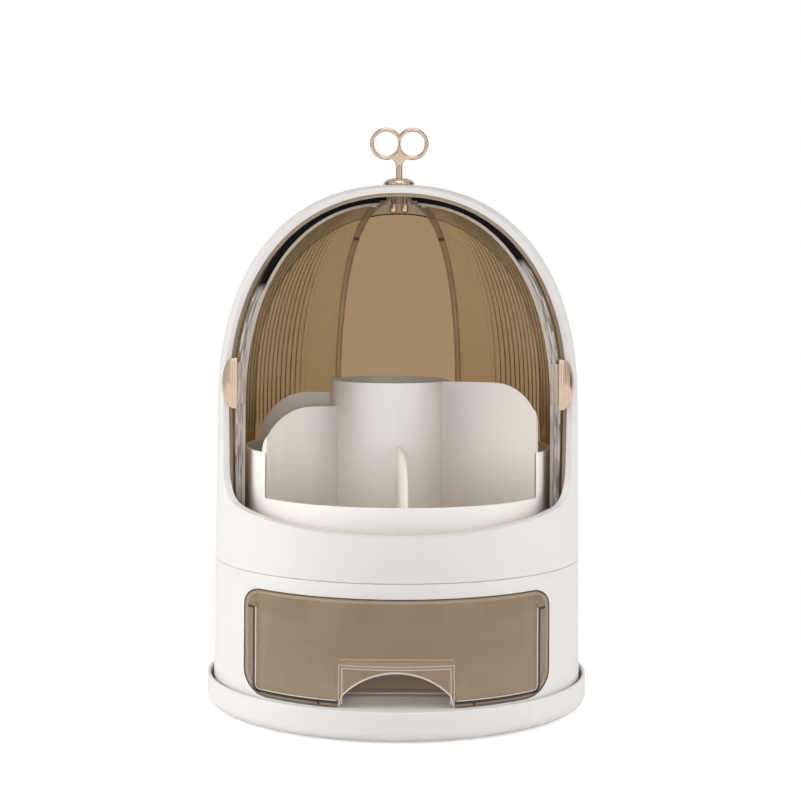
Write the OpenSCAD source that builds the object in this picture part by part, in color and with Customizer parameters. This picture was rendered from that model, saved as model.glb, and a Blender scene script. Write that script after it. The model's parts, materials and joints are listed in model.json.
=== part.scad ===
// Dustproof makeup organizer: a round two-storey vanity box.  A swivelling body holds a drawer
// below and a tray above, and two quarter-dome doors swing out of the way inside the domed casing.
// Millimetres, +Z up, front towards -Y, origin on the table at the centre of the base.

/* [Body] */
// Outer radius of the body at the seam between the two casings
body_r = 125; // [122:0.5:130]
// How much wider the lower casing is at its foot
foot_flare = 0.8; // [0:0.1:2]
// Height of the seam above the table
seam_z = 99; // [97:0.5:106]
// Width of the open line between the two casings
seam_gap = 0.4; // [0.1:0.1:0.6]
// Wall of the lower casing
lower_wall = 3; // [2.5:0.1:3.5]
// Wall of the upper casing
upper_wall = 3.6; // [3:0.1:4]
// Thickness of the casing floor and of the base floor
floor_t = 3; // [2.5:0.1:3.5]

/* [Base] */
// Height of the base rim above the underside of the base
lip_h = 19.3; // [17:0.1:24]
// Thickness of the base rim
lip_w = 2.4; // [1.8:0.1:3]
// Running gap between the body and the base rim
lip_gap = 1.9; // [1.2:0.1:2.5]
// Radius of the rounded lower edge of the base
base_round = 6; // [3:0.5:8]
// How far the rubber feet stand out under the base
foot_h = 1; // [0.5:0.1:2]
// Radius of a rubber foot
foot_r = 9; // [6:0.5:12]
// Number of rubber feet
foot_count = 6; // [4:1:8]
// Distance of the middle of a foot inside the base rim
foot_inset = 24.1; // [18.1:0.5:36.1]

/* [Swivel] */
// Radius of the centre post
post_r = 8; // [7:0.5:10]
// Running clearance of the post in the hub
post_clear = 0.05; // [0.03:0.01:0.1]
// Radius of the middle of the glide ring
glide_r = 75; // [60:1:85]
// Width of the glide ring
glide_w = 9.6; // [8:0.2:12]
// Height of the glide ring
glide_h = 6; // [5:0.5:7]

/* [Dome] */
// How much the body narrows from the seam to where the dome springs
dome_step = 1; // [0:0.5:2]
// Height at which the dome starts to close in
spring_z = 200; // [190:1:210]
// Rise of the dome above that height
dome_rise = 154; // [145:1:162]
// Fullness of the shoulder, where 2 is an ellipse
dome_power = 2.3; // [2.1:0.05:2.6]
// How far the arch rim stands in front of the edges of the open doors, at the spring height
arch_gap = 0.7; // [0:0.1:4]
// Backward lean of the arch rim in degrees
arch_lean = 3.6; // [0:0.2:6]
// Height of the lowest point of the front rim
rim_z = 128; // [124:0.5:134]
// Rise of the front rim towards the arch in degrees
rim_slope = 11.3; // [6:0.2:14]
// Radius of the corner between front rim and arch
rim_corner = 26; // [18:1:32]
// Distance of the rear edge of the hoop behind the axis
hoop_y = 56; // [48:1:64]
// Height of the white wall round the back
back_z = 150; // [140:1:160]
// Radius of the corner where the hoop meets the back wall
back_corner = 20; // [12:1:26]
// Wall of the clear rear dome
liner_wall = 2.3; // [2:0.1:2.6]

/* [Doors] */
// Distance of each hinge pin from the centre line
pin_x = 4; // [4:0.1:4.5]
// How far a door, about its own pin, is smaller than the dome
door_inset = 11.5; // [11.2:0.1:12.5]
// Wall of a door
door_wall = 2.5; // [2:0.1:2.6]
// Depth of the stiffening flange inside the front edge
lead_depth = 5.9; // [4:0.1:6]
// Depth of the stiffening flange inside the rear edge
trail_depth = 4.5; // [3:0.1:5]
// Thickness of both flanges
flange_t = 3; // [2:0.1:4]
// Angle that a door turns between open and closed
swing = 69; // [66:0.5:70]
// Gap between the closed doors
door_gap = 0.4; // [0.2:0.1:1]
// Drop of the door crown below the casing crown
crown_drop = 8.2; // [8:0.1:9]

/* [Hinges] */
// Radius of a hinge pin
pin_r = 1.6; // [1.4:0.05:1.8]
// Running clearance of a pin in its eye
pin_clear = 0.05; // [0.03:0.01:0.1]
// Radius of a hinge eye
eye_r = 3.6; // [3.2:0.1:3.7]
// Thickness of a hinge arm
arm_t = 1.8; // [1.5:0.1:2.2]
// Width of a hinge arm
arm_w = 8; // [6:0.5:9]
// Distance from the pin to the screw of the arm
arm_reach = 15; // [13:0.5:17]

/* [Handles] */
// Height of a handle
handle_h = 34; // [28:1:40]
// How far a handle stands out from the door
handle_out = 9; // [6:0.5:9.5]
// Thickness of a handle
handle_t = 4.4; // [3.5:0.1:4.6]
// Height of the middle of the handles
handle_z = 219; // [210:1:230]
// Height of the clear handle block
block_h = 28; // [22:1:32]

/* [Insert tray] */
// Gap between the tray and the inner wall of the door track
tray_play = 2.4; // [2.3:0.1:5]
// Wall of the tray
tray_wall = 2; // [1.6:0.1:2.5]
// Top of the low front wall
tray_front_z = 144; // [136:1:152]
// Top of the wall round the sides and back
tray_back_z = 174; // [160:1:185]
// Top of the left panel
left_panel_z = 199.5; // [195:1:215]
// Top of the right panel and the brush cup
right_panel_z = 217; // [205:1:228]
// Outer radius of the brush cup
cup_r = 42; // [36:1:44]
// Distance of the cup to the left of the centre
cup_x = 6; // [0:1:8]
// Distance of the cup behind the centre
cup_y = 34; // [30:1:40]
// How far to the side the left panel meets the wall short of the reach of the tray
left_panel_inset = 18; // [14:0.5:22]
// How far to the side the right panel meets the wall short of the reach of the tray
right_panel_inset = 13.4; // [12:0.2:20]
// Angle in degrees at which the left panel leaves the wall of the tray
left_panel_lead = 15.4; // [8:0.2:40]
// Angle in degrees at which the right panel leaves the wall of the tray
right_panel_lead = 17.6; // [8:0.2:40]
// Top of the divider behind the left panel
side_divider_z = 208; // [180:1:212]

/* [Drawer] */
// How far the drawer front reaches past the drawer box on each side
front_lap = 6.3; // [4.3:0.1:6.9]
// Height of the drawer front
front_h = 67.8; // [60:0.2:68]
// Thickness of the drawer front
front_t = 2.5; // [2:0.1:2.8]
// Radius of the upper corners of the drawer front
front_top_r = 11; // [6:0.5:16]
// Radius of the lower corners of the drawer front
front_low_r = 15.5; // [8:0.5:18]
// Gap between the drawer front and its window
front_gap = 0.6; // [0.4:0.1:1]
// Space on each side between the drawer box and the outside of the body
box_inset = 32.5; // [32:0.5:39]
// Wall of the drawer box
box_wall = 2; // [1.6:0.1:2.5]
// Rear face of the drawer box behind the axis
box_back_y = 60; // [50:1:64]
// Height of the drawer box
box_h = 56.3; // [48:0.1:58]
// Width of the turned-out edge of the drawer box
box_edge = 4; // [2:0.1:4.2]
// Height of the runners under the drawer
runner_h = 2; // [1.5:0.1:3]
// Distance of each runner from the centre line
runner_x = 49; // [44:1:60]
// Travel of the drawer
drawer_travel = 125; // [100:1:130]
// Half width of the finger arch
grip_half_w = 34.4; // [30:0.2:36]
// Height of the finger arch above the drawer floor
grip_h = 20.8; // [18:0.2:24]
// Radius of the finger arch
grip_r = 46; // [42:1:60]

/* [Finial] */
// Radius of the finial base
finial_r = 12; // [11:0.5:15]
// Height of the finial base
finial_h = 4.8; // [4.5:0.1:6]
// Outer radius of a key ring
ring_r = 11.2; // [9:0.1:13]
// Width of the metal of a key ring
ring_w = 2.7; // [2:0.1:3.5]
// Distance between the middles of the key rings
ring_pitch = 17.8; // [15:0.1:19.5]
// Height of the key ring middles above the crown of the casing
key_rise = 28.4; // [25:0.1:34]
// Thickness of the key
key_t = 4; // [3:0.1:5]

/* [Hidden] */
$fn = 96;

eps = 0.01;
big = 400;           // larger than the whole box, for cuts that go right through
past = 1;            // how far a cut runs past the face that it opens
seat = 0.2;          // gap left where one piece rests on another
fit = 0.3;           // gap round a piece that drops into another
quarter = 90;        // degrees
arc_steps = 26;      // straight pieces in a dome outline
corner_steps = 8;    // straight pieces in a rounded corner

white = "#f4f1ec";
smoke = "#8d7352";
gold = "#d9b48f";
clear = "#d8d2cb";
steel = "#c9ccd0";
rubber = "#3a3836";

// Heights of the base and the floor
base_z = foot_h;
base_top = base_z + floor_t;
lip_top = base_z + lip_h;
floor_step = 0.1;
floor_top = lip_top + floor_step;
floor_under = floor_top - floor_t;
skirt_gap = 1.4;
skirt_z = base_top + skirt_gap;
base_r = body_r + foot_flare + lip_gap + lip_w;
glide_top = base_top + glide_h;
glide_inset = 1;
guide_w = 2;
guide_h = 4;
foot_ring_r = base_r - foot_inset;
foot_pocket = 1;
foot_play = 0.1;

// The recess in the floor where the post is held down
hub_top = 14;
hub_w = 9;
hub_wall = 3;
hub_r = post_r + hub_w;
washer_t = 1.5;
washer_lap = 4;
washer_r = post_r + washer_lap;
swivel_head_h = 2.5;
swivel_head_r = 5;
swivel_shank_r = 2;
swivel_slot_w = 1.2;
swivel_point = 1.5;

// Heights around the seam: ledge, flange of the upper casing, deck
lower_in_r = body_r - lower_wall;
flange_drop = 4;
flange_z = seam_z - flange_drop;
spigot_flange_t = 3;
spigot_play = 0.7;
spigot_wall = 2.8;
spigot_h = 6.8;
flange_r = lower_in_r - spigot_play;
flange_w = 8;
ledge_w = 7;
ledge_t = 2.8;
ledge_slope = 2;
deck_z = flange_z + spigot_flange_t + seat;
deck_t = 3;
deck_top = deck_z + deck_t;
spigot_in_r = flange_r - spigot_wall;
spigot_top = deck_top + spigot_h;
deck_r = spigot_in_r - seat;

// Half width of the drawer box
box_half_w = body_r - box_inset;

// Deck screws: two beside the drawer and two behind it
screw_r = 1.5;
screw_head_r = 3;
screw_head_h = 1.8;
screw_post_r = 4.5;
screw_len = 14;
screw_play = 0.1;
screw_slot_w = 0.8;
screw_slot_t = 0.9;
side_clear = 2.5;
rear_clear = 14;
side_screw_x = box_half_w + box_edge + side_clear + screw_post_r;
side_screw_y = -2;
rear_screw_x = 60;
rear_screw_y = box_back_y + screw_post_r + rear_clear;
deck_screw_spots = [[-side_screw_x, side_screw_y], [side_screw_x, side_screw_y],
    [-rear_screw_x, rear_screw_y], [rear_screw_x, rear_screw_y]];

// Dome outlines are given by their distance inside the outer skin
dome_r = body_r - dome_step;
liner_out = upper_wall + fit;
liner_in = liner_out + liner_wall;
crown_z = spring_z + dome_rise;

// Doors, the arch rim in front of them when they are open, and their track
door_r = dome_r - door_inset;
arch_y = door_r * cos(swing) + arch_gap;
door_lift = 0.6;
door_z = deck_top + door_lift;
track_h = 6.6;
track_wall = 1.5;
track_rib = 1.1;
track_play = 0.6;
track_in_r = door_r - door_wall - track_play - track_wall;
flange_lift = 3;
flange_low_z = deck_top + track_h + flange_lift;

// Hinges under the crown
eye_clear = 1;
eye_top = crown_z - liner_in - eye_clear;
arm_drop = 1.3;
arm_top = crown_z - crown_drop - door_wall - arm_drop;
arm_z = arm_top - arm_t;
arm_play = 0.1;
arm_waist = 0.5;
arm_angle = 45;
arm_end = [-arm_reach * cos(arm_angle), -arm_reach * sin(arm_angle), 0];
boss_r = 4;
boss_z = arm_top + arm_play;
boss_sink = 1;
boss_top = crown_z - crown_drop - door_wall / 2 - boss_sink;
hinge_clear_r = 7.5;
hinge_clear_drop = 20;
flange_clear_r = 11.5;

// Screws and pins of the hinges
hinge_screw_r = 1.1;
hinge_head_r = 2.4;
hinge_head_h = 1.5;
hinge_grip = 1.4;
hinge_screw_top = boss_z + hinge_grip;
pin_head_r = 2.6;
pin_head_h = 5.7;
pin_thread_r = 1.3;
pin_grip = 2.8;
pin_top = crown_z + pin_grip;

// Handles
lead_plane = pin_x - door_gap / 2;
handle_clear = 0.1;
handle_steps = 24;   // straight pieces in half of a handle's outline
handle_power = 0.7;
handle_peg_r = 1;
handle_peg_depth = 3;
peg_play = 0.05;
block_t = flange_t;

// Set-back of the clear dome behind the arch rim
liner_set_back = 1.5;

// Tray
tray_r = track_in_r - tray_play;
tray_z = deck_top + seat;
tray_floor = tray_z + tray_wall;
tray_joint = 0.05;
left_panel_x = tray_r - left_panel_inset;
right_panel_x = tray_r - right_panel_inset;
left_panel_round = 30;
right_panel_round = 26;
panel_meet_angle = 27.5;
panel_overlap = 3;
divider_foot_x = 5;

// Drawer
front_half_w = box_half_w + front_lap;
front_lift = 0.8;
front_z = floor_top + front_lift;
drawer_z = floor_top + fit + runner_h;
box_top = drawer_z + box_h;
front_proud = 0.2;
front_r = body_r + front_proud;
front_in_r = front_r - front_t;
runner_w = 1.6;
runner_start = 14;
grip_top = drawer_z + grip_h;
grip_flare = 1.9;
grip_flare_h = 6.8;
pocket_wall = 2;
pocket_lift = 3.4;
pocket_top_depth = 24;
pocket_low_depth = 38;
pocket_lean = 1.1;
pocket_top = grip_top + pocket_lift;
pocket_top_y = body_r - pocket_top_depth;
pocket_low_y = body_r - pocket_low_depth;
stop_w = 30;
stop_t = 3;
stop_depth = 10;
stop_lift = 4;
stop_lap = 5;
stop_z = box_top + stop_lift;
stop_tab_z = stop_z + stop_lap;

// Finial
cap_r = (finial_r * finial_r + finial_h * finial_h) / (2 * finial_h);
key_stem_r = 2.2;
key_peg_r = 2;
web_in = 1.6;        // how far the web reaches up into the rings
web_drop = 4;        // how far it reaches down below them
web_notch = 4.5;     // drop of the notch between the rings
stem_lap = 3;

// Outline of a dome skin that lies inset_r inside at the wall and inset_z inside at the crown
function dome_points(inset_r, inset_z) = [for (i = [0:arc_steps])
    let (a = quarter * i / arc_steps)
    [(dome_r - inset_r) * pow(cos(a), 2 / dome_power),
        spring_z + (dome_rise - inset_z) * pow(sin(a), 2 / dome_power)]];

// A dome skin from height z0 up, between two insets
module dome_skin(z0, out_r, out_z, in_r, in_z) {
    outer = dome_points(out_r, out_z);
    inner = dome_points(in_r, in_z);
    rotate_extrude()
        polygon(concat([[dome_r - out_r, z0]], outer, [for (i = [arc_steps:-1:0]) inner[i]],
            [[dome_r - in_r, z0]]));
}

// Corner points of radius r that join direction a0 to a1, about centre c
function corner(c, r, a0, a1) = [for (i = [0:corner_steps])
    let (a = a0 + (a1 - a0) * i / corner_steps) [c[0] + r * cos(a), c[1] + r * sin(a)]];

// A shape drawn in the plane of symmetry, x towards the back and y up, cut through sideways
module sideways(half = big / 2) {
    translate([-half, 0, 0])
        rotate([90, 0, 90])
            linear_extrude(2 * half)
                children();
}

// Where the arch edge stands in the plane of symmetry at height z, moved back by set_back
function arch_at(z, set_back = 0) = -arch_y + set_back + (z - spring_z) * tan(arch_lean);

// Outline in the plane of symmetry of all that lies in front of the arch and above the rim
module opening_outline() {
    rim_0 = rim_z + body_r * tan(rim_slope);
    lean = tan(arch_lean);
    meet_y = (arch_at(0) + rim_0 * lean) / (1 - tan(rim_slope) * lean);
    meet_z = rim_0 + meet_y * tan(rim_slope);
    reach = rim_corner / sin((90 + rim_slope + arch_lean) / 2);
    toward = 135 + (rim_slope - arch_lean) / 2;
    middle = [meet_y + reach * cos(toward), meet_z + reach * sin(toward)];
    polygon(concat([[-big / 2, rim_0 - big / 2 * tan(rim_slope)]],
        corner(middle, rim_corner, rim_slope - 90, -arch_lean),
        [[arch_at(big), big], [-big / 2, big]]));
}

// Outline of all that lies behind the hoop and above the back wall
module back_outline() {
    middle = [hoop_y + back_corner, back_z + back_corner];
    polygon(concat([[hoop_y, big]],
        corner(middle, back_corner, 180, 270),
        [[big / 2, back_z], [big / 2, big]]));
}

// Outline of all that lies in front of the arch, from top to bottom
module front_outline(set_back) {
    polygon([[-big / 2, 0], [arch_at(0, set_back), 0], [arch_at(big, set_back), big],
        [-big / 2, big]]);
}

// A flat ring
module ring(out_r, in_r, z0, z1) {
    translate([0, 0, z0])
        linear_extrude(z1 - z0)
            difference() {
                circle(out_r);
                circle(in_r);
            }
}

// A round piece or a round hole
module rod(r, z0, z1) {
    translate([0, 0, z0])
        cylinder(r = r, h = z1 - z0);
}

// ---- Base and swivel ----

module base_tray() {
    lip_round = lip_w / 2 - eps;
    groove = glide_w / 2 + fit;
    color(white)
        difference() {
            union() {
                rotate_extrude()
                    polygon(concat([[0, base_z]],
                        corner([base_r - base_round, base_z + base_round], base_round, -90, 0),
                        corner([base_r - lip_round, lip_top - lip_round], lip_round, 0, 90),
                        corner([base_r - lip_w + lip_round, lip_top - lip_round], lip_round, 90, 180),
                        [[base_r - lip_w, base_top], [0, base_top]]));
                rod(post_r, base_top - eps, hub_top + seat);
                ring(glide_r - groove, glide_r - groove - guide_w, base_top - eps,
                    base_top + guide_h);
                ring(glide_r + groove + guide_w, glide_r + groove, base_top - eps,
                    base_top + guide_h);
            }
            rod(swivel_shank_r, base_top + past, big);
            foot_places()
                rod(foot_r + foot_play, base_z - eps, base_z + foot_pocket);
        }
}

// Puts its child at each rubber foot
module foot_places() {
    for (i = [0:foot_count - 1])
        rotate(360 * (i + 0.5) / foot_count)
            translate([foot_ring_r, 0, 0])
                children();
}

module base_feet() {
    color(rubber)
        foot_places()
            rod(foot_r, 0, base_z + foot_pocket);
}

module glide_ring() {
    color(white)
        ring(glide_r + glide_w / 2, glide_r - glide_w / 2, base_top, glide_top);
}

// The slot in the head of a screw
module slot(head_r, width, z_top, depth) {
    translate([-head_r * 0.7, -width / 2, z_top - depth])
        cube([head_r * 1.4, width, depth + past]);
}

module swivel_washer() {
    color(steel)
        ring(washer_r, swivel_shank_r + seat, hub_top + seat, hub_top + seat + washer_t);
}

module swivel_screw() {
    head_z = hub_top + seat + washer_t;
    color(steel)
        difference() {
            union() {
                rod(swivel_shank_r, base_top + swivel_point, head_z + eps);
                rod(swivel_head_r, head_z, head_z + swivel_head_h);
            }
            slot(swivel_head_r, swivel_slot_w, head_z + swivel_head_h, swivel_slot_w);
        }
}

// ---- Lower casing and deck ----

// Outline with rounded corners, x across and y up
module window_outline(half_w, z0, z1, top_r, low_r) {
    polygon(concat(
        corner([half_w - top_r, z1 - top_r], top_r, 0, 90),
        corner([top_r - half_w, z1 - top_r], top_r, 90, 180),
        corner([low_r - half_w, z0 + low_r], low_r, 180, 270),
        corner([half_w - low_r, z0 + low_r], low_r, 270, 360)));
}

// An outline drawn from the front, x across and y up, that reaches from the axis to the front
module frontwards(depth = big / 2) {
    rotate([90, 0, 0])
        linear_extrude(depth)
            children();
}

// Puts its child at each deck screw
module deck_screw_places() {
    for (spot = deck_screw_spots)
        translate([spot[0], spot[1], 0])
            children();
}

module lower_casing() {
    ledge_r = flange_r - ledge_w;
    color(white)
        difference() {
            union() {
                rotate_extrude()
                    polygon([[0, floor_under], [lower_in_r, floor_under], [lower_in_r, skirt_z],
                        [body_r + foot_flare, skirt_z], [body_r, seam_z], [lower_in_r, seam_z],
                        [lower_in_r, flange_z], [ledge_r, flange_z], [ledge_r, flange_z - ledge_t],
                        [lower_in_r, flange_z - ledge_t - ledge_slope],
                        [lower_in_r, floor_top],
                        [0, floor_top]]);
                rod(hub_r + hub_wall, hub_top - floor_t, floor_under + eps);
                ring(glide_r + glide_w / 2 - glide_inset, glide_r - glide_w / 2 + glide_inset,
                    glide_top + seat, floor_under + eps);
                deck_screw_places()
                    rod(screw_post_r, floor_top - eps, deck_z);
            }
            rod(hub_r, hub_top, floor_top + past);
            rod(post_r + post_clear, 0, hub_top + past);
            deck_screw_places()
                rod(screw_r, deck_z - screw_len, deck_z + past);
            frontwards()
                window_outline(front_half_w + front_gap, floor_top,
                    front_z + front_h + front_gap, front_top_r + front_gap,
                    front_low_r + front_gap);
        }
}

// The walls of the door track: a half circle about each hinge pin, joined across the front
module track(out_r, in_r) {
    for (side = [-1, 1])
        translate([side * pin_x, 0, deck_top - eps])
            linear_extrude(track_h + eps)
                intersection() {
                    difference() {
                        circle(out_r);
                        circle(in_r);
                    }
                    translate([side > 0 ? 0 : -big, -big / 2])
                        square([big, big]);
                }
    for (end = [-1, 1])
        translate([-pin_x, end > 0 ? in_r : -out_r, deck_top - eps])
            cube([2 * pin_x, out_r - in_r, track_h + eps]);
}

module inner_deck() {
    stop_y = box_back_y - stop_t - drawer_travel - fit;
    track_out_r = door_r + track_play;
    color(white)
        difference() {
            union() {
                rod(deck_r, deck_z, deck_top);
                track(track_in_r + track_wall, track_in_r);
                track(track_out_r + track_rib, track_out_r);
                translate([-stop_w / 2, stop_y - stop_t, stop_z])
                    cube([stop_w, stop_t, deck_z - stop_z + eps]);
            }
            deck_screw_places() {
                rod(screw_r + screw_play, deck_z - past, deck_top + past);
                rod(screw_head_r + screw_play, deck_top - screw_head_h, deck_top + past);
            }
        }
}

module deck_screws() {
    color(steel)
        deck_screw_places()
            difference() {
                union() {
                    rod(screw_r, deck_z - screw_len + past, deck_top - screw_head_h + eps);
                    rod(screw_head_r, deck_top - screw_head_h, deck_top - eps);
                }
                slot(screw_head_r, screw_slot_w, deck_top, screw_slot_t);
            }
}

// ---- Upper casing and rear dome ----

// Puts its child at each hinge pin
module pin_places() {
    for (side = [-1, 1])
        translate([side * pin_x, 0, 0])
            children();
}

module upper_casing() {
    outer = dome_points(0, 0);
    inner = dome_points(upper_wall, upper_wall);
    flange_in_r = flange_r - flange_w;
    color(white)
        difference() {
            rotate_extrude()
                polygon(concat([[body_r, seam_z + seam_gap]], outer,
                    [for (i = [arc_steps:-1:0]) inner[i]],
                    [[dome_r - upper_wall, spigot_top], [spigot_in_r, spigot_top],
                        [spigot_in_r, flange_z + spigot_flange_t],
                        [flange_in_r, flange_z + spigot_flange_t],
                        [flange_in_r, flange_z], [flange_r, flange_z],
                        [flange_r, seam_z + seam_gap]]));
            sideways()
                opening_outline();
            sideways()
                back_outline();
            pin_places()
                rod(pin_r, crown_z - liner_in, crown_z + past);
            rod(key_peg_r, crown_z - liner_in, crown_z + past);
        }
}

module rear_dome() {
    color(smoke, 0.6)
        difference() {
            dome_skin(spigot_top + seat, liner_out, liner_out, liner_in, liner_in);
            sideways()
                front_outline(liner_set_back);
            pin_places()
                rod(pin_r, crown_z - liner_in - past, crown_z);
        }
}

// ---- Doors ----

// Carries what is drawn for a closed left door, about its own pin, to the open place on a side
module on_door(side) {
    mirror([side > 0 ? 1 : 0, 0, 0])
        translate([-pin_x, 0, 0])
            rotate(-swing)
                children();
}

// A quarter of a dome skin about the pin, from height z0 up
module door_skin(z0, wall_in) {
    shift_r = dome_r - door_r;
    dome_skin(z0, shift_r, crown_drop, shift_r + wall_in, crown_drop + wall_in);
}

module door(side) {
    slab = big / 2;
    on_door(side)
        difference() {
            union() {
                intersection() {
                    door_skin(door_z, door_wall);
                    translate([-slab, -slab, 0])
                        cube([slab + lead_plane, slab, big]);
                }
                // Flange along the front edge
                difference() {
                    intersection() {
                        door_skin(flange_low_z, lead_depth);
                        translate([lead_plane - flange_t, -slab, 0])
                            cube([flange_t, slab, big]);
                    }
                    rod(flange_clear_r, arm_z - hinge_clear_drop, crown_z);
                }
                // Flange along the rear edge
                difference() {
                    intersection() {
                        door_skin(flange_low_z, trail_depth);
                        translate([-slab, -flange_t, 0])
                            cube([slab, flange_t, big]);
                    }
                    rod(flange_clear_r, arm_z - hinge_clear_drop, crown_z);
                }
                translate(arm_end)
                    rod(boss_r, boss_z, boss_top);
            }
            rod(hinge_clear_r, arm_z - hinge_clear_drop, crown_z);
            translate(arm_end)
                rod(hinge_screw_r, boss_z - past, hinge_screw_top + fit);
            block_room(0);
        }
}

// The space of the clear handle block in the front edge of a door, smaller by play all round
module block_room(play) {
    intersection() {
        ring(door_r - play, door_r - lead_depth + play,
            handle_z - block_h / 2 + play, handle_z + block_h / 2 - play);
        translate([lead_plane - block_t + play, -big, 0])
            cube([block_t - play, big, big]);
    }
}

module door_left() {
    color(smoke, 0.6)
        door(-1);
}

module door_right() {
    color(smoke, 0.6)
        door(1);
}

module hinge_arm(side) {
    color(clear, 0.8)
        on_door(side)
            difference() {
                union() {
                    rod(eye_r, arm_z, eye_top);
                    rotate(180 + arm_angle)
                        translate([pin_r, arm_waist - arm_w / 2, arm_z])
                            cube([arm_reach - pin_r, arm_w - 2 * arm_waist, arm_t]);
                    translate(arm_end)
                        rod(arm_w / 2, arm_z, arm_top);
                }
                rod(pin_r + pin_clear, arm_z - past, eye_top + past);
                translate(arm_end)
                    rod(hinge_screw_r + arm_play, arm_z - past, arm_top + past);
            }
}

module hinge_screw(side) {
    color(gold)
        on_door(side)
            translate(arm_end) {
                rod(hinge_screw_r - peg_play, arm_z - eps, hinge_screw_top);
                rod(hinge_head_r, arm_z - hinge_head_h, arm_z);
            }
}

module hinge_pin(side) {
    head_z = arm_z - seat;
    shoulder_z = crown_z - liner_in - handle_clear;
    color(gold)
        translate([side * pin_x, 0, 0]) {
            rod(pin_r, head_z - eps, shoulder_z);
            rod(pin_thread_r, shoulder_z - eps, pin_top);
            translate([0, 0, head_z - pin_head_h + pin_head_r])
                sphere(pin_head_r);
            rod(pin_head_r, head_z - pin_head_h + pin_head_r, head_z);
        }
}

// Half-oval outline of a handle, x away from the door and y up
module handle_outline() {
    polygon([for (i = [-handle_steps:handle_steps])
        let (a = quarter * i / handle_steps)
        [handle_out * pow(cos(a), handle_power), handle_h / 2 * sin(a)]]);
}

// The pegs that hold a handle in its block, or the holes for them
module handle_pegs(r, depth) {
    for (up = [-1, 1])
        translate([lead_plane - block_t / 2, -door_r - past, handle_z + up * block_h / 4])
            rotate([-90, 0, 0])
                cylinder(r = r, h = depth + past);
}

module handle(side) {
    color(gold)
        on_door(side) {
            translate([lead_plane - handle_t, -door_r - handle_clear, handle_z])
                rotate([90, 0, 90])
                    linear_extrude(handle_t)
                        mirror([1, 0])
                            handle_outline();
            handle_pegs(handle_peg_r - peg_play, handle_peg_depth);
        }
}

module handle_block(side) {
    color(clear, 0.8)
        on_door(side)
            difference() {
                block_room(handle_clear);
                handle_pegs(handle_peg_r, handle_peg_depth + seat);
            }
}

// ---- Insert tray ----

module insert_tray() {
    color(white)
        difference() {
            rod(tray_r, tray_z, tray_back_z);
            rod(tray_r - tray_wall, tray_floor, tray_back_z + past);
            // Low in front, between the panels
            translate([-left_panel_x, -big, tray_front_z])
                cube([left_panel_x + right_panel_x, big, big]);
        }
}

module brush_cup() {
    color(white)
        translate([-cup_x, cup_y, 0])
            ring(cup_r, cup_r - tray_wall, tray_floor, right_panel_z);
}

// Cuts a plan to what lies between the outer wall of the tray and the cup
module between_walls() {
    difference() {
        intersection() {
            children();
            circle(tray_r - tray_wall - tray_joint);
        }
        translate([-cup_x, cup_y])
            circle(cup_r + tray_joint);
    }
}

// Plan of a curved panel on the right, an arc from the cup to the outer wall that bulges to the
// back. It turns through twice half_turn.
module panel_plan(wall_end, cup_end, panel_r, half_turn) {
    run = wall_end - cup_end;
    back = [-run[1], run[0]] / norm(run);
    intersection() {
        translate((wall_end + cup_end) / 2 - panel_r * cos(half_turn) * back)
            difference() {
                circle(panel_r + tray_wall / 2);
                circle(panel_r - tray_wall / 2);
            }
        polygon([wall_end + run - panel_overlap * back, cup_end - run - panel_overlap * back,
            cup_end - run + panel_r * back, wall_end + run + panel_r * back]);
    }
}

// A curved panel on one side, with its outer top corner rounded. It meets the wall at wall_x
// and leaves it at the angle lead.
module panel(side, wall_x, lead, top_z, round_r) {
    turn = side > 0 ? 0 : 1;
    mid_wall_r = tray_r - tray_wall / 2;
    wall_end = [wall_x, -sqrt(mid_wall_r * mid_wall_r - wall_x * wall_x)];
    cup_end = [cup_r * cos(panel_meet_angle) - cup_x, cup_y - cup_r * sin(panel_meet_angle)];
    run = wall_end - cup_end;
    leave = atan2(wall_end[0], -wall_end[1]) + lead;
    half_turn = atan2(-run[1], -run[0]) - leave;
    panel_r = norm(run) / 2 / sin(half_turn);
    overshoot = leave < 90 ? panel_r * (1 - sin(leave)) : 0;
    edge_x = wall_x + overshoot + tray_wall / 2;
    color(white)
        intersection() {
            translate([0, 0, tray_floor])
                linear_extrude(top_z - tray_floor)
                    between_walls()
                        mirror([turn, 0])
                            panel_plan(wall_end, cup_end, panel_r, half_turn);
            translate([0, big / 2, 0])
                frontwards(big)
                    mirror([turn, 0])
                        polygon(concat([[0, 0], [edge_x + past, 0], [edge_x + past, tray_back_z]],
                            corner([edge_x - round_r, top_z - round_r], round_r, 0, 90),
                            [[0, top_z]]));
        }
}

// Divider between the two front compartments, which curves down to the front wall
module tray_divider_front() {
    round_r = tray_back_z - tray_front_z;
    top_y = cup_y - cup_r + past;
    front_y = tray_wall - tray_r;
    color(white)
        intersection() {
            translate([0, 0, tray_floor])
                linear_extrude(tray_back_z - tray_floor)
                    between_walls()
                        polygon([[-tray_wall / 2, top_y], [tray_wall / 2, top_y],
                            [divider_foot_x + tray_wall, -tray_r], [divider_foot_x, -tray_r]]);
            sideways()
                polygon(concat([[0, 0], [0, tray_back_z]],
                    corner([front_y + round_r, tray_back_z - round_r], round_r, 90, 180),
                    [[front_y, 0]]));
        }
}

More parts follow.
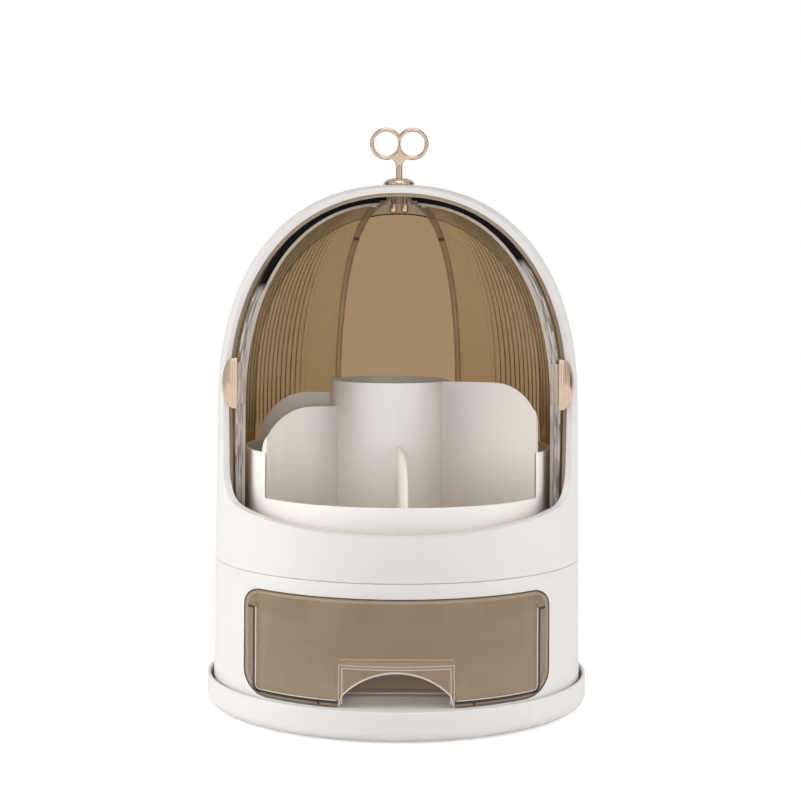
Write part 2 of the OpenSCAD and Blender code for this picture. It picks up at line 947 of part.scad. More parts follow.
// Divider from the cup to the outer wall on the left
module tray_divider_side() {
    round_r = side_divider_z - tray_back_z;
    wall_x = -sqrt(pow(tray_r - tray_wall, 2) - cup_y * cup_y);
    color(white)
        intersection() {
            translate([0, 0, tray_floor])
                linear_extrude(side_divider_z - tray_floor)
                    between_walls()
                        translate([-tray_r, cup_y - tray_wall / 2])
                            square([tray_r - cup_x, tray_wall]);
            translate([0, big / 2, 0])
                frontwards(big)
                    polygon(concat([[0, 0], [0, side_divider_z]],
                        corner([wall_x + round_r, side_divider_z - round_r], round_r, 90, 180),
                        [[wall_x, 0]]));
        }
}

// ---- Drawer ----

// Plan of the drawer box, bounded in front by radius front_limit
module box_plan(half_w, back_y, front_limit) {
    intersection() {
        translate([-half_w, -big])
            square([2 * half_w, big + back_y]);
        circle(front_limit);
    }
}

// Outline of the finger pocket from the side, smaller by inset, down to height z0
module pocket_outline(inset, z0) {
    back = inset * pocket_lean;
    polygon([[-body_r, z0], [-pocket_low_y - back, z0], [-pocket_low_y - back, drawer_z],
        [-pocket_top_y - back, pocket_top - inset], [-body_r, pocket_top - inset]]);
}

// The arch in the drawer front for the fingers, a little wider at the bottom
module grip_outline() {
    step = grip_flare / grip_flare_h;
    low = grip_half_w + grip_flare;
    high = low - (grip_top - front_z) * step;
    intersection() {
        translate([0, grip_top - grip_r])
            circle(grip_r);
        polygon([[-low - step * past, front_z - past], [low + step * past, front_z - past],
            [high - step * past, grip_top + past], [step * past - high, grip_top + past]]);
    }
}

module drawer_front() {
    color(smoke, 0.6)
        difference() {
            intersection() {
                ring(front_r, front_in_r, front_z - past, front_z + front_h + past);
                frontwards()
                    window_outline(front_half_w, front_z, front_z + front_h,
                        front_top_r, front_low_r);
            }
            intersection() {
                ring(front_r + past, front_in_r - past, 0, big);
                frontwards()
                    grip_outline();
            }
        }
}

module drawer() {
    front_limit = front_in_r - tray_joint;
    pocket_half_w = grip_half_w + pocket_wall + tray_joint;
    color(smoke, 0.6)
        difference() {
            union() {
                // Box, its lower edges rounded to clear the corners of the window
                intersection() {
                    union() {
                        translate([0, 0, drawer_z])
                            linear_extrude(box_h)
                                difference() {
                                    box_plan(box_half_w, box_back_y, front_limit);
                                    box_plan(box_half_w - box_wall, box_back_y - box_wall,
                                        front_limit - box_wall);
                                }
                        translate([0, 0, drawer_z])
                            linear_extrude(box_wall)
                                box_plan(box_half_w - box_wall / 2, box_back_y - box_wall / 2,
                                    front_limit - box_wall / 2);
                    }
                    translate([0, big / 2, 0])
                        frontwards(big)
                            window_outline(box_half_w, drawer_z, 2 * box_top, box_wall,
                                2 * box_wall);
                }
                // Turned-out edges
                for (side = [-1, 1])
                    translate([0, 0, box_top - box_wall])
                        linear_extrude(box_wall)
                            intersection() {
                                box_plan(box_half_w + box_edge, box_back_y, front_limit);
                                translate([side * (box_half_w + (box_edge - box_wall / 2) / 2), 0])
                                    square([box_edge + box_wall / 2, big], center = true);
                            }
                // Stop at the back
                translate([-stop_w / 2, box_back_y - stop_t, box_top - stop_depth])
                    cube([stop_w, stop_t, stop_tab_z - box_top + stop_depth]);
                // Runners
                for (side = [-1, 1])
                    translate([side * runner_x - runner_w / 2, runner_start - front_in_r,
                        drawer_z - runner_h])
                        cube([runner_w, front_in_r - runner_start + box_back_y,
                            runner_h + box_wall / 2]);
            }
            // Low in front, so that the curved front closes the box
            intersection() {
                translate([box_wall / 2 - box_half_w, -big, drawer_z + box_wall])
                    cube([2 * box_half_w - box_wall, big, box_h]);
                ring(front_in_r + past, front_limit - box_wall - past, 0, big);
            }
            // Room for the finger pocket in the floor
            translate([-pocket_half_w, -big, front_z - past])
                cube([2 * pocket_half_w, big - pocket_low_y + tray_joint,
                    pocket_top - front_z + past]);
        }
}

module drawer_pocket() {
    color(clear, 0.8)
        difference() {
            intersection() {
                sideways(grip_half_w + pocket_wall)
                    pocket_outline(0, drawer_z);
                rod(front_in_r - tray_joint, 0, big);
            }
            intersection() {
                sideways(grip_half_w)
                    pocket_outline(pocket_wall, drawer_z - past);
                rod(front_in_r + past, 0, big);
            }
        }
}

// ---- Finial ----

module finial_base() {
    color(gold)
        difference() {
            intersection() {
                translate([0, 0, crown_z + finial_h - cap_r])
                    sphere(cap_r);
                rod(finial_r + past, crown_z, crown_z + finial_h + past);
            }
            pin_places()
                rod(pin_thread_r + peg_play, crown_z - past, pin_top + seat);
            rod(key_peg_r, crown_z - past, crown_z + finial_h + past);
        }
}

module finial_key() {
    ring_z = crown_z + key_rise;
    web_low = ring_z - ring_r - web_drop;
    color(gold) {
        translate([0, key_t / 2, ring_z])
            rotate([90, 0, 0])
                linear_extrude(key_t) {
                    difference() {
                        union() {
                            for (side = [-1, 1])
                                translate([side * ring_pitch / 2, 0])
                                    circle(ring_r);
                            polygon([[-ring_pitch / 2, web_in - ring_r],
                                [ring_pitch / 2, web_in - ring_r],
                                [key_stem_r, -ring_r - web_drop],
                                [-key_stem_r, -ring_r - web_drop]]);
                            polygon([[-ring_pitch / 4, 0], [0, ring_r - web_notch],
                                [ring_pitch / 4, 0]]);
                        }
                        for (side = [-1, 1])
                            translate([side * ring_pitch / 2, 0])
                                circle(ring_r - ring_w);
                    }
                }
        rod(key_stem_r, crown_z + finial_h + handle_clear, web_low + stem_lap);
        rod(key_peg_r - peg_play, crown_z - upper_wall / 2, crown_z + finial_h + past);
    }
}

// ---- Handed pieces ----

module hinge_arm_left() { hinge_arm(-1); }
module hinge_arm_right() { hinge_arm(1); }
module hinge_screw_left() { hinge_screw(-1); }
module hinge_screw_right() { hinge_screw(1); }
module hinge_pin_left() { hinge_pin(-1); }
module hinge_pin_right() { hinge_pin(1); }
module handle_left() { handle(-1); }
module handle_right() { handle(1); }
module handle_block_left() { handle_block(-1); }
module handle_block_right() { handle_block(1); }
module tray_panel_left() {
    panel(-1, left_panel_x, left_panel_lead, left_panel_z, left_panel_round);
}
module tray_panel_right() {
    panel(1, right_panel_x, right_panel_lead, right_panel_z, right_panel_round);
}

base_tray();
base_feet();
glide_ring();
swivel_washer();
swivel_screw();
lower_casing();
inner_deck();
deck_screws();
upper_casing();
rear_dome();
door_left();
door_right();
hinge_arm_left();
hinge_arm_right();
hinge_screw_left();
hinge_screw_right();
hinge_pin_left();
hinge_pin_right();
handle_left();
handle_right();
handle_block_left();
handle_block_right();
insert_tray();
brush_cup();
tray_panel_left();
tray_panel_right();
tray_divider_front();
tray_divider_side();
drawer();
drawer_front();
drawer_pocket();
finial_base();
finial_key();
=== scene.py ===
import json
import math

import bpy
from mathutils import Matrix, Vector


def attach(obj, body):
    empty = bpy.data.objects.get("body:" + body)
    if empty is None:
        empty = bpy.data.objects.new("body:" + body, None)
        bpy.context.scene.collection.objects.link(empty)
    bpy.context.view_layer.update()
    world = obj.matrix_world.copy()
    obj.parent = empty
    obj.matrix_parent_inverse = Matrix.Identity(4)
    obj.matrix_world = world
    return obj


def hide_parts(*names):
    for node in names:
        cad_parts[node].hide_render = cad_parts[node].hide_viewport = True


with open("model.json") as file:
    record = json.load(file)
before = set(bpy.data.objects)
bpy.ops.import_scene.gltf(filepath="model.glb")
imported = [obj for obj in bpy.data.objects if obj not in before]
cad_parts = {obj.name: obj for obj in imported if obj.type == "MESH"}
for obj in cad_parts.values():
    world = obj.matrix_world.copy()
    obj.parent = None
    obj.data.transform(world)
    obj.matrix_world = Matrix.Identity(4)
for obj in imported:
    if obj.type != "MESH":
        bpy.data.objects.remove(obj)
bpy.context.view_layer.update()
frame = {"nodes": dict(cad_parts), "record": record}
print("frame loaded,", len(frame["nodes"]), "nodes")

mm = 0.001


class Wire:
    # one node output, so that shader maths is written as plain expressions
    def __init__(self, tree, socket=None):
        self.tree = tree
        self.socket = socket

    def node(self, kind, settings, inputs, output=0):
        # settings first, because some of them change the sockets
        made = self.tree.nodes.new(kind)
        for key, value in settings.items():
            if key == "stops":
                for step, (place, colour) in zip(made.color_ramp.elements, value):
                    step.position = place
                    step.color = colour
            else:
                setattr(made, key, value)
        for key, value in inputs.items():
            if isinstance(value, Wire):
                self.tree.links.new(value.socket, made.inputs[key])
            else:
                made.inputs[key].default_value = value
        return Wire(self.tree, made.outputs[output] if made.outputs else None)

    def maths(self, operation, first, second=0.0):
        return self.node("ShaderNodeMath", {"operation": operation}, {0: first, 1: second})

    def __add__(self, other):
        return self.maths("ADD", self, other)

    def __radd__(self, other):
        return self.maths("ADD", other, self)

    def __sub__(self, other):
        return self.maths("SUBTRACT", self, other)

    def __rsub__(self, other):
        return self.maths("SUBTRACT", other, self)

    def __mul__(self, other):
        return self.maths("MULTIPLY", self, other)

    def __rmul__(self, other):
        return self.maths("MULTIPLY", other, self)

    def __truediv__(self, other):
        return self.maths("DIVIDE", self, other)

    def __rtruediv__(self, other):
        return self.maths("DIVIDE", other, self)

    def __pow__(self, other):
        return self.maths("POWER", self, other)


def newMaterial(name):
    material = bpy.data.materials.new(name)
    material.use_nodes = True
    material.node_tree.nodes.clear()
    return material, Wire(material.node_tree)


def closeMaterial(start, shader):
    start.node("ShaderNodeOutputMaterial", {}, {"Surface": shader})


def noise(start, place, scale, detail=2.0):
    return start.node("ShaderNodeTexNoise", {}, {"Vector": place, "Scale": scale, "Detail": detail})


def blendColour(start, amount, first, second):
    # a Mix node's colour sockets are the 7th and 8th
    return start.node("ShaderNodeMix", {"data_type": "RGBA"}, {0: amount, 6: first, 7: second}, 2)


def ramp(start, value, low, high):
    # 0 below low and 1 above high
    return start.node("ShaderNodeMapRange", {"interpolation_type": "SMOOTHSTEP"}, {
        "Value": value, "From Min": low, "From Max": high, "To Min": 0.0, "To Max": 1.0})


def shade(red, green, blue):
    return (red, green, blue, 1.0)


# Shape of the doors, about their own pins; the clear materials use it too. A curve of 2 would
# make the dome round, and a higher one makes its shoulders squarer.
doorSkin = {
    "pinX": 4 * mm, "radius": 112.5 * mm, "wall": 2.5 * mm, "foot": 101.8 * mm,
    "spring": 200 * mm, "rise": 145.8 * mm, "curve": 2.3, "hub": 7.6 * mm,
    "swing": 69, "rows": 34, "rearEdge": 3.0 * mm, "past": 0.002 * mm,
}
# The flutes: how many a quarter turn holds, how many stay plain at the rear edge, and how the
# ribs between them fade out towards the rear, the foot and the crown
flutes = {"count": 36, "steps": 6, "plain": 5, "rearFade": 6, "depth": 0.9 * mm, "crest": 0.6,
          "foot": 181 * mm, "footFade": 9 * mm, "crownFade": 0.45, "hubClear": 1.5,
          "innerLimit": 1.006}


# Moulded plastics, metals and rubber, and the colours of painted highlights and painted shade: a
# base colour that drifts a little, and a fine grain
solidLooks = {
    "whitePlastic": {"light": shade(0.81, 0.778, 0.752), "dark": shade(0.78, 0.747, 0.72),
                     "roughness": 0.32, "metal": 0.0, "coat": 0.15, "grain": 0.03},
    # a paler copy of the white plastic, for the tray and the brush cup inside the dome: painted
    # light, for light that falls short in there
    "litTrayWhite": {"light": shade(0.93, 0.89, 0.845), "dark": shade(0.90, 0.86, 0.815),
                  "roughness": 0.36, "metal": 0.0, "coat": 0.15, "grain": 0.03},
    "whitePanel": {"light": shade(0.85, 0.80, 0.745), "dark": shade(0.82, 0.77, 0.715),
                   "roughness": 0.36, "metal": 0.0, "coat": 0.15, "grain": 0.03},
    "champagneMetal": {"light": shade(0.88, 0.69, 0.53), "dark": shade(0.77, 0.58, 0.44),
                       "roughness": 0.10, "metal": 1.0, "coat": 0.0, "grain": 0.02},
    "brightSteel": {"light": shade(0.66, 0.66, 0.67), "dark": shade(0.52, 0.52, 0.53),
                    "roughness": 0.28, "metal": 1.0, "coat": 0.0, "grain": 0.05},
    "acetal": {"light": shade(0.80, 0.80, 0.78), "dark": shade(0.74, 0.74, 0.72),
               "roughness": 0.45, "metal": 0.0, "coat": 0.0, "grain": 0.05},
    "footRubber": {"light": shade(0.55, 0.55, 0.54), "dark": shade(0.45, 0.45, 0.44),
                   "roughness": 0.75, "metal": 0.0, "coat": 0.0, "grain": 0.25},
    # painted shade: the dark rods along the edges of the drawer box, for clear walls seen edge-on
    "paintedEdgeShade": {"light": shade(0.105, 0.075, 0.048), "dark": shade(0.080, 0.056, 0.036),
                  "roughness": 0.30, "metal": 0.0, "coat": 0.2, "grain": 0.02},
    # painted highlights: the pale rods along clear edges and the glint inside the drawer seam
    "paintedEdgeGlint": {"light": shade(0.84, 0.81, 0.78), "dark": shade(0.70, 0.67, 0.64),
                  "roughness": 0.16, "metal": 0.0, "coat": 0.6, "grain": 0.02},
    # the dark colour of the door clips, and painted shade for the drawer seam, its runner ticks and
    # the hoop line
    "darkClipAndEdgeShade": {"light": shade(0.030, 0.027, 0.026), "dark": shade(0.016, 0.014, 0.013),
                "roughness": 0.40, "metal": 0.0, "coat": 0.05, "grain": 0.02},
}
# what all of them share
solidFinish = {"driftScale": 14.0, "roughDrift": 0.08, "coatRough": 0.12, "grainScale": 1400.0,
               "grainDepth": 0.4 * mm}


def solidMaterial(name):
    look, finish = solidLooks[name], solidFinish
    material, start = newMaterial(name)
    place = start.node("ShaderNodeTexCoord", {}, {}, "Object")
    drift = noise(start, place, finish["driftScale"])
    grain = noise(start, place, finish["grainScale"])
    bump = start.node("ShaderNodeBump", {}, {"Height": grain, "Strength": look["grain"],
                                             "Distance": finish["grainDepth"]})
    surface = start.node("ShaderNodeBsdfPrincipled", {}, {
        "Base Color": blendColour(start, drift, look["dark"], look["light"]),
        "Roughness": look["roughness"] + finish["roughDrift"] * (drift - 0.5),
        "Metallic": look["metal"], "Coat Weight": look["coat"],
        "Coat Roughness": finish["coatRough"], "Normal": bump})
    closeMaterial(start, surface)
    return material


# Clear plastics: a tint for what is seen through each face, a body that shows more and more
# towards the edges, and a clean gloss on top
clearLooks = {
    "smokeDome": {"tint": shade(0.635, 0.53, 0.395), "body": shade(0.42, 0.32, 0.20),
                  "least": 0.04, "most": 0.20, "gloss": 0.07, "mirror": 0.45},
    "smokeDoor": {"tint": shade(0.975, 0.945, 0.88), "body": shade(0.90, 0.70, 0.45),
                  "least": 0.20, "most": 0.32, "gloss": 0.06, "mirror": 0.22},
    "smokeDrawer": {"tint": shade(0.965, 0.945, 0.915), "body": shade(0.88, 0.70, 0.51),
                    "least": 0.30, "most": 0.50, "gloss": 0.05, "mirror": 0.5},
    "smokeFront": {"tint": shade(0.95, 0.92, 0.885), "body": shade(0.79, 0.59, 0.38),
                   "least": 0.19, "most": 0.45, "gloss": 0.04, "mirror": 0.7},
    "leadEdge": {"tint": shade(0.93, 0.91, 0.89), "body": shade(0.62, 0.55, 0.48),
                 "least": 0.10, "most": 0.50, "gloss": 0.05, "mirror": 0.5, "sheen": 0.006},
    "rearEdge": {"tint": shade(0.95, 0.92, 0.86), "body": shade(0.72, 0.58, 0.41),
                 "least": 0.08, "most": 0.30, "gloss": 0.06, "mirror": 0.3},
    "roseClear": {"tint": shade(0.88, 0.80, 0.74), "body": shade(0.62, 0.51, 0.44),
                  "least": 0.45, "most": 0.80, "gloss": 0.05, "mirror": 0.6},
    "clearPlastic": {"tint": shade(0.93, 0.92, 0.91), "body": shade(0.42, 0.38, 0.35),
                     "least": 0.06, "most": 0.65, "gloss": 0.05, "mirror": 0.9},
}
# what all of them share; sheen is how much a face mirrors that is seen straight on
clearFinish = {"driftScale": 11.0, "bodyRough": 0.25, "roughDrift": 0.1, "glossDrift": 0.03,
               "bodyFade": 3.0, "mirrorFade": 5.0, "sheen": 0.04, "levelPerSheen": 5.0,
               "glossColour": shade(0.9, 0.88, 0.85)}


def clearMaterial(name, marks=None):
    # marks gives how strongly a mark shows, from 0 to 1, and its colour; most marks are painted
    # shade, painted light and painted reflections, such as the painted shade in a groove
    look, finish = clearLooks[name], clearFinish
    sheen = look.get("sheen", finish["sheen"])
    material, start = newMaterial(name)
    place = start.node("ShaderNodeTexCoord", {}, {}, "Object")
    drift = noise(start, place, finish["driftScale"])
    facing = start.node("ShaderNodeLayerWeight", {}, {"Blend": 0.5}, "Facing")
    share = look["least"] + (look["most"] - look["least"]) * facing ** finish["bodyFade"]
    colour = look["body"]
    if marks:
        mask, markColour = marks(start, place)
        share = share + mask * (1.0 - share)
        colour = blendColour(start, mask, colour, markColour)
    through = start.node("ShaderNodeBsdfTransparent", {}, {"Color": look["tint"]})
    body = start.node("ShaderNodeBsdfPrincipled", {}, {
        "Base Color": colour, "Roughness": finish["bodyRough"] + finish["roughDrift"] * drift,
        "Specular IOR Level": finish["levelPerSheen"] * sheen})
    inside = start.node("ShaderNodeMixShader", {}, {0: share, 1: through, 2: body})
    gloss = start.node("ShaderNodeBsdfPrincipled", {}, {
        "Base Color": finish["glossColour"], "Metallic": 1.0,
        "Roughness": look["gloss"] + finish["glossDrift"] * drift})
    # the same on both faces, because a Fresnel node turns an inner face into a full mirror
    mirror = sheen + look["mirror"] * facing ** finish["mirrorFade"]
    closeMaterial(start, start.node("ShaderNodeMixShader", {}, {0: mirror, 1: inside, 2: gloss}))
    return material


def axesOf(start, place):
    return [start.node("ShaderNodeSeparateXYZ", {}, {"Vector": place}, axis) for axis in "XYZ"]


def skinDepth(start, place):
    # how deep a point of an open door lies under the outer skin
    d = doorSkin
    x, y, z = axesOf(start, place)
    out = start.maths("ABSOLUTE", x) - d["pinX"]
    reach = (out * out + y * y) ** 0.5
    above = start.maths("MAXIMUM", z - d["spring"], 0.0)
    full = ((reach / d["radius"]) ** d["curve"] + (above / d["rise"]) ** d["curve"]) \
        ** (1 / d["curve"])
    far = (reach * reach + above * above) ** 0.5
    return far / full - far


def rearDistance(start, place):
    # how far a point of an open door is from the plane of the rear edge
    x, y, z = axesOf(start, place)
    swing = math.radians(doorSkin["swing"])
    out = start.maths("ABSOLUTE", x) - doorSkin["pinX"]
    return out * math.sin(swing) - y * math.cos(swing)


# Lines that run along an edge and come and go slowly; on the front edge of a door they are painted
# reflections. The tilt puts those of the right door a little higher
streak = {"tilt": 0.10, "stretch": 0.04, "detail": 3.0, "from": 0.40, "to": 0.60}


def markHeight(start, place):
    x, y, z = axesOf(start, place)
    return z - streak["tilt"] * x


def streaks(start, depth, height, scale):
    along = start.node("ShaderNodeCombineXYZ", {}, {0: depth, 2: height * streak["stretch"]})
    return ramp(start, noise(start, along, scale, streak["detail"]), streak["from"], streak["to"])


grooveShade = {"from": 0.02, "to": 0.36, "share": 0.92, "colour": shade(0.085, 0.052, 0.022)}


def paintedGrooveShade(start, place):
    # painted shade: the dark line in the groove between two flutes of a door
    g = grooveShade
    groove = start.node("ShaderNodeAttribute", {"attribute_name": "groove"}, {}, "Fac")
    return ramp(start, groove, g["from"], g["to"]) * g["share"], g["colour"]


leadReflection = {"outer": 4.0 * mm, "outerTo": 4.4 * mm, "blackFrom": 286.5 * mm,
            "blackTo": 295.5 * mm, "streakScale": 1300.0, "stripShare": 0.72, "outerShare": 0.66,
            "dark": shade(0.08, 0.072, 0.07), "pale": shade(0.82, 0.80, 0.79),
            "black": shade(0.002, 0.002, 0.003), "strip": shade(0.66, 0.59, 0.51)}


def leadEdgeReflections(start, place):
    # painted reflections on the front edge: black on top and pale and dark streaks lower down, with
    # a pale strip on its inside
    m = leadReflection
    depth, height = skinDepth(start, place), markHeight(start, place)
    outer = 1.0 - ramp(start, depth, m["outer"], m["outerTo"])
    high = ramp(start, height, m["blackFrom"], m["blackTo"])
    lower = blendColour(start, streaks(start, depth, height, m["streakScale"]),
                        m["dark"], m["pale"])
    rim = blendColour(start, high, lower, m["black"])
    mask = m["stripShare"] * (1.0 - outer) \
        + outer * (m["outerShare"] + (1.0 - m["outerShare"]) * high)
    return mask, blendColour(start, outer, m["strip"], rim)


rearMark = {"middle": 1.5 * mm, "half": 1.0 * mm, "halfTo": 1.2 * mm, "least": 0.08, "most": 0.50,
            "pale": shade(0.72, 0.58, 0.41), "dark": shade(0.06, 0.042, 0.025)}


def rearMarks(start, place):
    # two dark lines along the rear edge, and a clear strip between them
    m = rearMark
    away = start.maths("ABSOLUTE", rearDistance(start, place) - m["middle"])
    line = ramp(start, away, m["half"], m["halfTo"])
    return m["least"] + (m["most"] - m["least"]) * line, blendColour(
        start, line, m["pale"], m["dark"])


blockMark = {"streakScale": 1400.0, "share": 0.55, "dark": shade(0.30, 0.235, 0.20),
             "pale": shade(0.74, 0.64, 0.56)}


def blockMarks(start, place):
    # upright streaks in the clear blocks of the handles
    m = blockMark
    lines = streaks(start, skinDepth(start, place), markHeight(start, place), m["streakScale"])
    return m["share"], blendColour(start, lines, m["dark"], m["pale"])


hoopRear = 55.5 * mm  # where the white hoop ends behind the clear dome
linerPaint = {"fade": 0.4 * mm, "share": 0.90, "facingFrom": 0.50, "facingTo": 0.70,
             "side": shade(0.94, 0.77, 0.56), "front": shade(0.42, 0.33, 0.235)}


def linerPaintedLight(start, place):
    # in front of the rear edge of the hoop the clear dome lines white plastic; the light that falls
    # short in the gap between them is painted in, as painted light on faces turned to the sides and
    # painted shade on faces turned to the front
    m = linerPaint
    normal = start.node("ShaderNodeTexCoord", {}, {}, "Normal")
    facesFront = ramp(start, -1.0 * axesOf(start, normal)[1], m["facingFrom"], m["facingTo"])
    behind = ramp(start, axesOf(start, place)[1], hoopRear, hoopRear + m["fade"])
    return m["share"] - m["share"] * behind, blendColour(
        start, facesFront, m["side"], m["front"])


# Outline of the drawer front, and the painted shade along its edge by the distance inside the
# outline
frontPlate = {"halfWidth": 98.8 * mm, "low": 21.2 * mm, "high": 89 * mm, "lowRound": 15.5 * mm,
              "highRound": 11 * mm, "bandIn": 3.0 * mm, "bandOut": 1.8 * mm, "bandShare": 0.45,
              "lineIn": 0.9 * mm, "lineOut": 0.4 * mm, "lineShare": 0.85,
              "band": shade(0.21, 0.165, 0.13), "line": shade(0.07, 0.052, 0.042)}


def frontEdgeShade(start, place):
    # painted shade: a dark band and a darker line all round the drawer front, for how its thick
    # clear edge looks, from the distance to the outline
    f = frontPlate
    x, y, z = axesOf(start, place)
    middle = (f["low"] + f["high"]) / 2
    upper = start.maths("GREATER_THAN", z, middle)
    corner = f["lowRound"] + (f["highRound"] - f["lowRound"]) * upper
    across = start.maths("ABSOLUTE", x) - (f["halfWidth"] - corner)
    along = start.maths("ABSOLUTE", z - middle) - ((f["high"] - f["low"]) / 2 - corner)
    outX = start.maths("MAXIMUM", across, 0.0)
    outZ = start.maths("MAXIMUM", along, 0.0)
    inner = start.maths("MINIMUM", start.maths("MAXIMUM", across, along), 0.0)
    distance = start.maths("SQRT", outX * outX + outZ * outZ) + inner - corner
    band = ramp(start, distance, -f["bandIn"], -f["bandOut"]) * f["bandShare"]
    line = ramp(start, distance, -f["lineIn"], -f["lineOut"])
    mask = start.maths("MAXIMUM", band, f["lineShare"] * line)
    return mask, blendColour(start, line, f["band"], f["line"])


materials = {name: solidMaterial(name) for name in solidLooks}
marksOf = {"smokeDome": linerPaintedLight, "smokeDoor": paintedGrooveShade, "smokeFront": frontEdgeShade,
           "leadEdge": leadEdgeReflections, "rearEdge": rearMarks, "roseClear": blockMarks}
for name in clearLooks:
    materials[name] = clearMaterial(name, marksOf.get(name))
print("materials made:", len(materials))


def onlySelect(piece):
    bpy.ops.object.select_all(action="DESELECT")
    piece.select_set(True)
    bpy.context.view_layer.objects.active = piece


def leaveEdit():
    bpy.ops.object.mode_set(mode="OBJECT")


def editSelect(piece, test):
    # goes into edit mode with the vertices that pass the test selected
    onlySelect(piece)
    bpy.ops.object.mode_set(mode="EDIT")
    bpy.ops.mesh.select_mode(type="VERT")
    bpy.ops.mesh.select_all(action="DESELECT")
    leaveEdit()
    for vertex in piece.data.vertices:
        vertex.select = test(vertex)
    bpy.ops.object.mode_set(mode="EDIT")


def editAll(piece):
    # goes into edit mode with the whole piece selected
    onlySelect(piece)
    bpy.ops.object.mode_set(mode="EDIT")
    bpy.ops.mesh.select_all(action="SELECT")


# How near two points have to be to become one, and up to which angle in degrees the triangles
# of a CAD node are one face
weld = {"node": 0.002 * mm, "rod": 0.001 * mm, "cut": 0.0005 * mm, "path": 0.01 * mm,
        "pole": 0.02 * mm, "flat": 0.2}


def closeSkin(piece, gap=0.0):
    # merges what lies together, such as an end cap and its rod, and turns all faces outwards
    editAll(piece)
    if gap:
        bpy.ops.mesh.remove_doubles(threshold=gap)
    bpy.ops.mesh.normals_make_consistent(inside=False)
    leaveEdit()
    return piece


def applyModifier(piece, kind, **settings):
    onlySelect(piece)
    modifier = piece.modifiers.new(kind, kind)
    for key, value in settings.items():
        setattr(modifier, key, value)
    bpy.ops.object.modifier_apply(modifier=modifier.name)


def bevelEdges(piece, width, segments=2, angle=38):
    applyModifier(piece, "BEVEL", width=width, segments=segments, limit_method="ANGLE",
                  angle_limit=math.radians(angle))


def bakePlace(piece):
    # puts the place, turn and scale of an object into its mesh
    onlySelect(piece)
    bpy.ops.object.transform_apply(location=True, rotation=True, scale=True)
    return piece


def joinInto(first, others):
    onlySelect(first)
    for piece in others:
        piece.select_set(True)
    bpy.ops.object.join()
    return first


def settle(piece, move=(0, 0, 0), turn=0.0, mirror=False):
    # turns a piece about the upright axis, moves it and mirrors it left to right
    spot = Matrix.Translation(move) @ Matrix.Rotation(math.radians(turn), 4, "Z")
    if mirror:
        spot = Matrix.Scale(-1, 4, (1, 0, 0)) @ spot
    piece.matrix_world = spot @ piece.matrix_world
    bakePlace(piece)
    return closeSkin(piece) if mirror else piece


def ready(piece, name, material, body, angle=35):
    # last steps for every piece: name, finish, smooth shading and the body that carries it
    piece.name = name
    piece.data.name = name
    piece.data.materials.clear()
    piece.data.materials.append(materials[material])
    onlySelect(piece)
    bpy.ops.object.shade_smooth_by_angle(angle=math.radians(angle))
    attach(piece, body)
    return piece


def mergedCopy(node):
    # a copy of a CAD node whose loose triangles are merged into one skin
    piece = bpy.data.objects.new(node + "Copy", frame["nodes"][node].data.copy())
    bpy.context.collection.objects.link(piece)
    editAll(piece)
    bpy.ops.mesh.remove_doubles(threshold=weld["node"])
    bpy.ops.mesh.dissolve_limited(angle_limit=math.radians(weld["flat"]))
    leaveEdit()
    return piece


def rodsFromEdges(piece, radius):
    # turns a piece that is only edges into thin round rods
    onlySelect(piece)
    bpy.ops.object.convert(target="CURVE")
    piece = bpy.context.object
    piece.data.bevel_depth = radius
    piece.data.bevel_resolution = 1
    piece.data.use_fill_caps = True
    bpy.ops.object.convert(target="MESH")
    return closeSkin(bpy.context.object, weld["rod"])


def sharpEdges(node, angle, keep):
    # only the sharp edges of a CAD node, or those of them whose ends pass the test
    piece = mergedCopy(node)
    onlySelect(piece)
    bpy.ops.object.mode_set(mode="EDIT")
    bpy.ops.mesh.select_mode(type="EDGE")
    bpy.ops.mesh.select_all(action="DESELECT")
    bpy.ops.mesh.edges_select_sharp(sharpness=math.radians(angle))
    bpy.ops.mesh.select_all(action="INVERT")
    bpy.ops.mesh.delete(type="EDGE")
    bpy.ops.mesh.select_all(action="SELECT")
    bpy.ops.mesh.delete(type="ONLY_FACE")
    leaveEdit()
    if keep:
        editSelect(piece, lambda v: not keep(v.co))
        bpy.ops.mesh.delete(type="VERT")
        leaveEdit()
    return piece


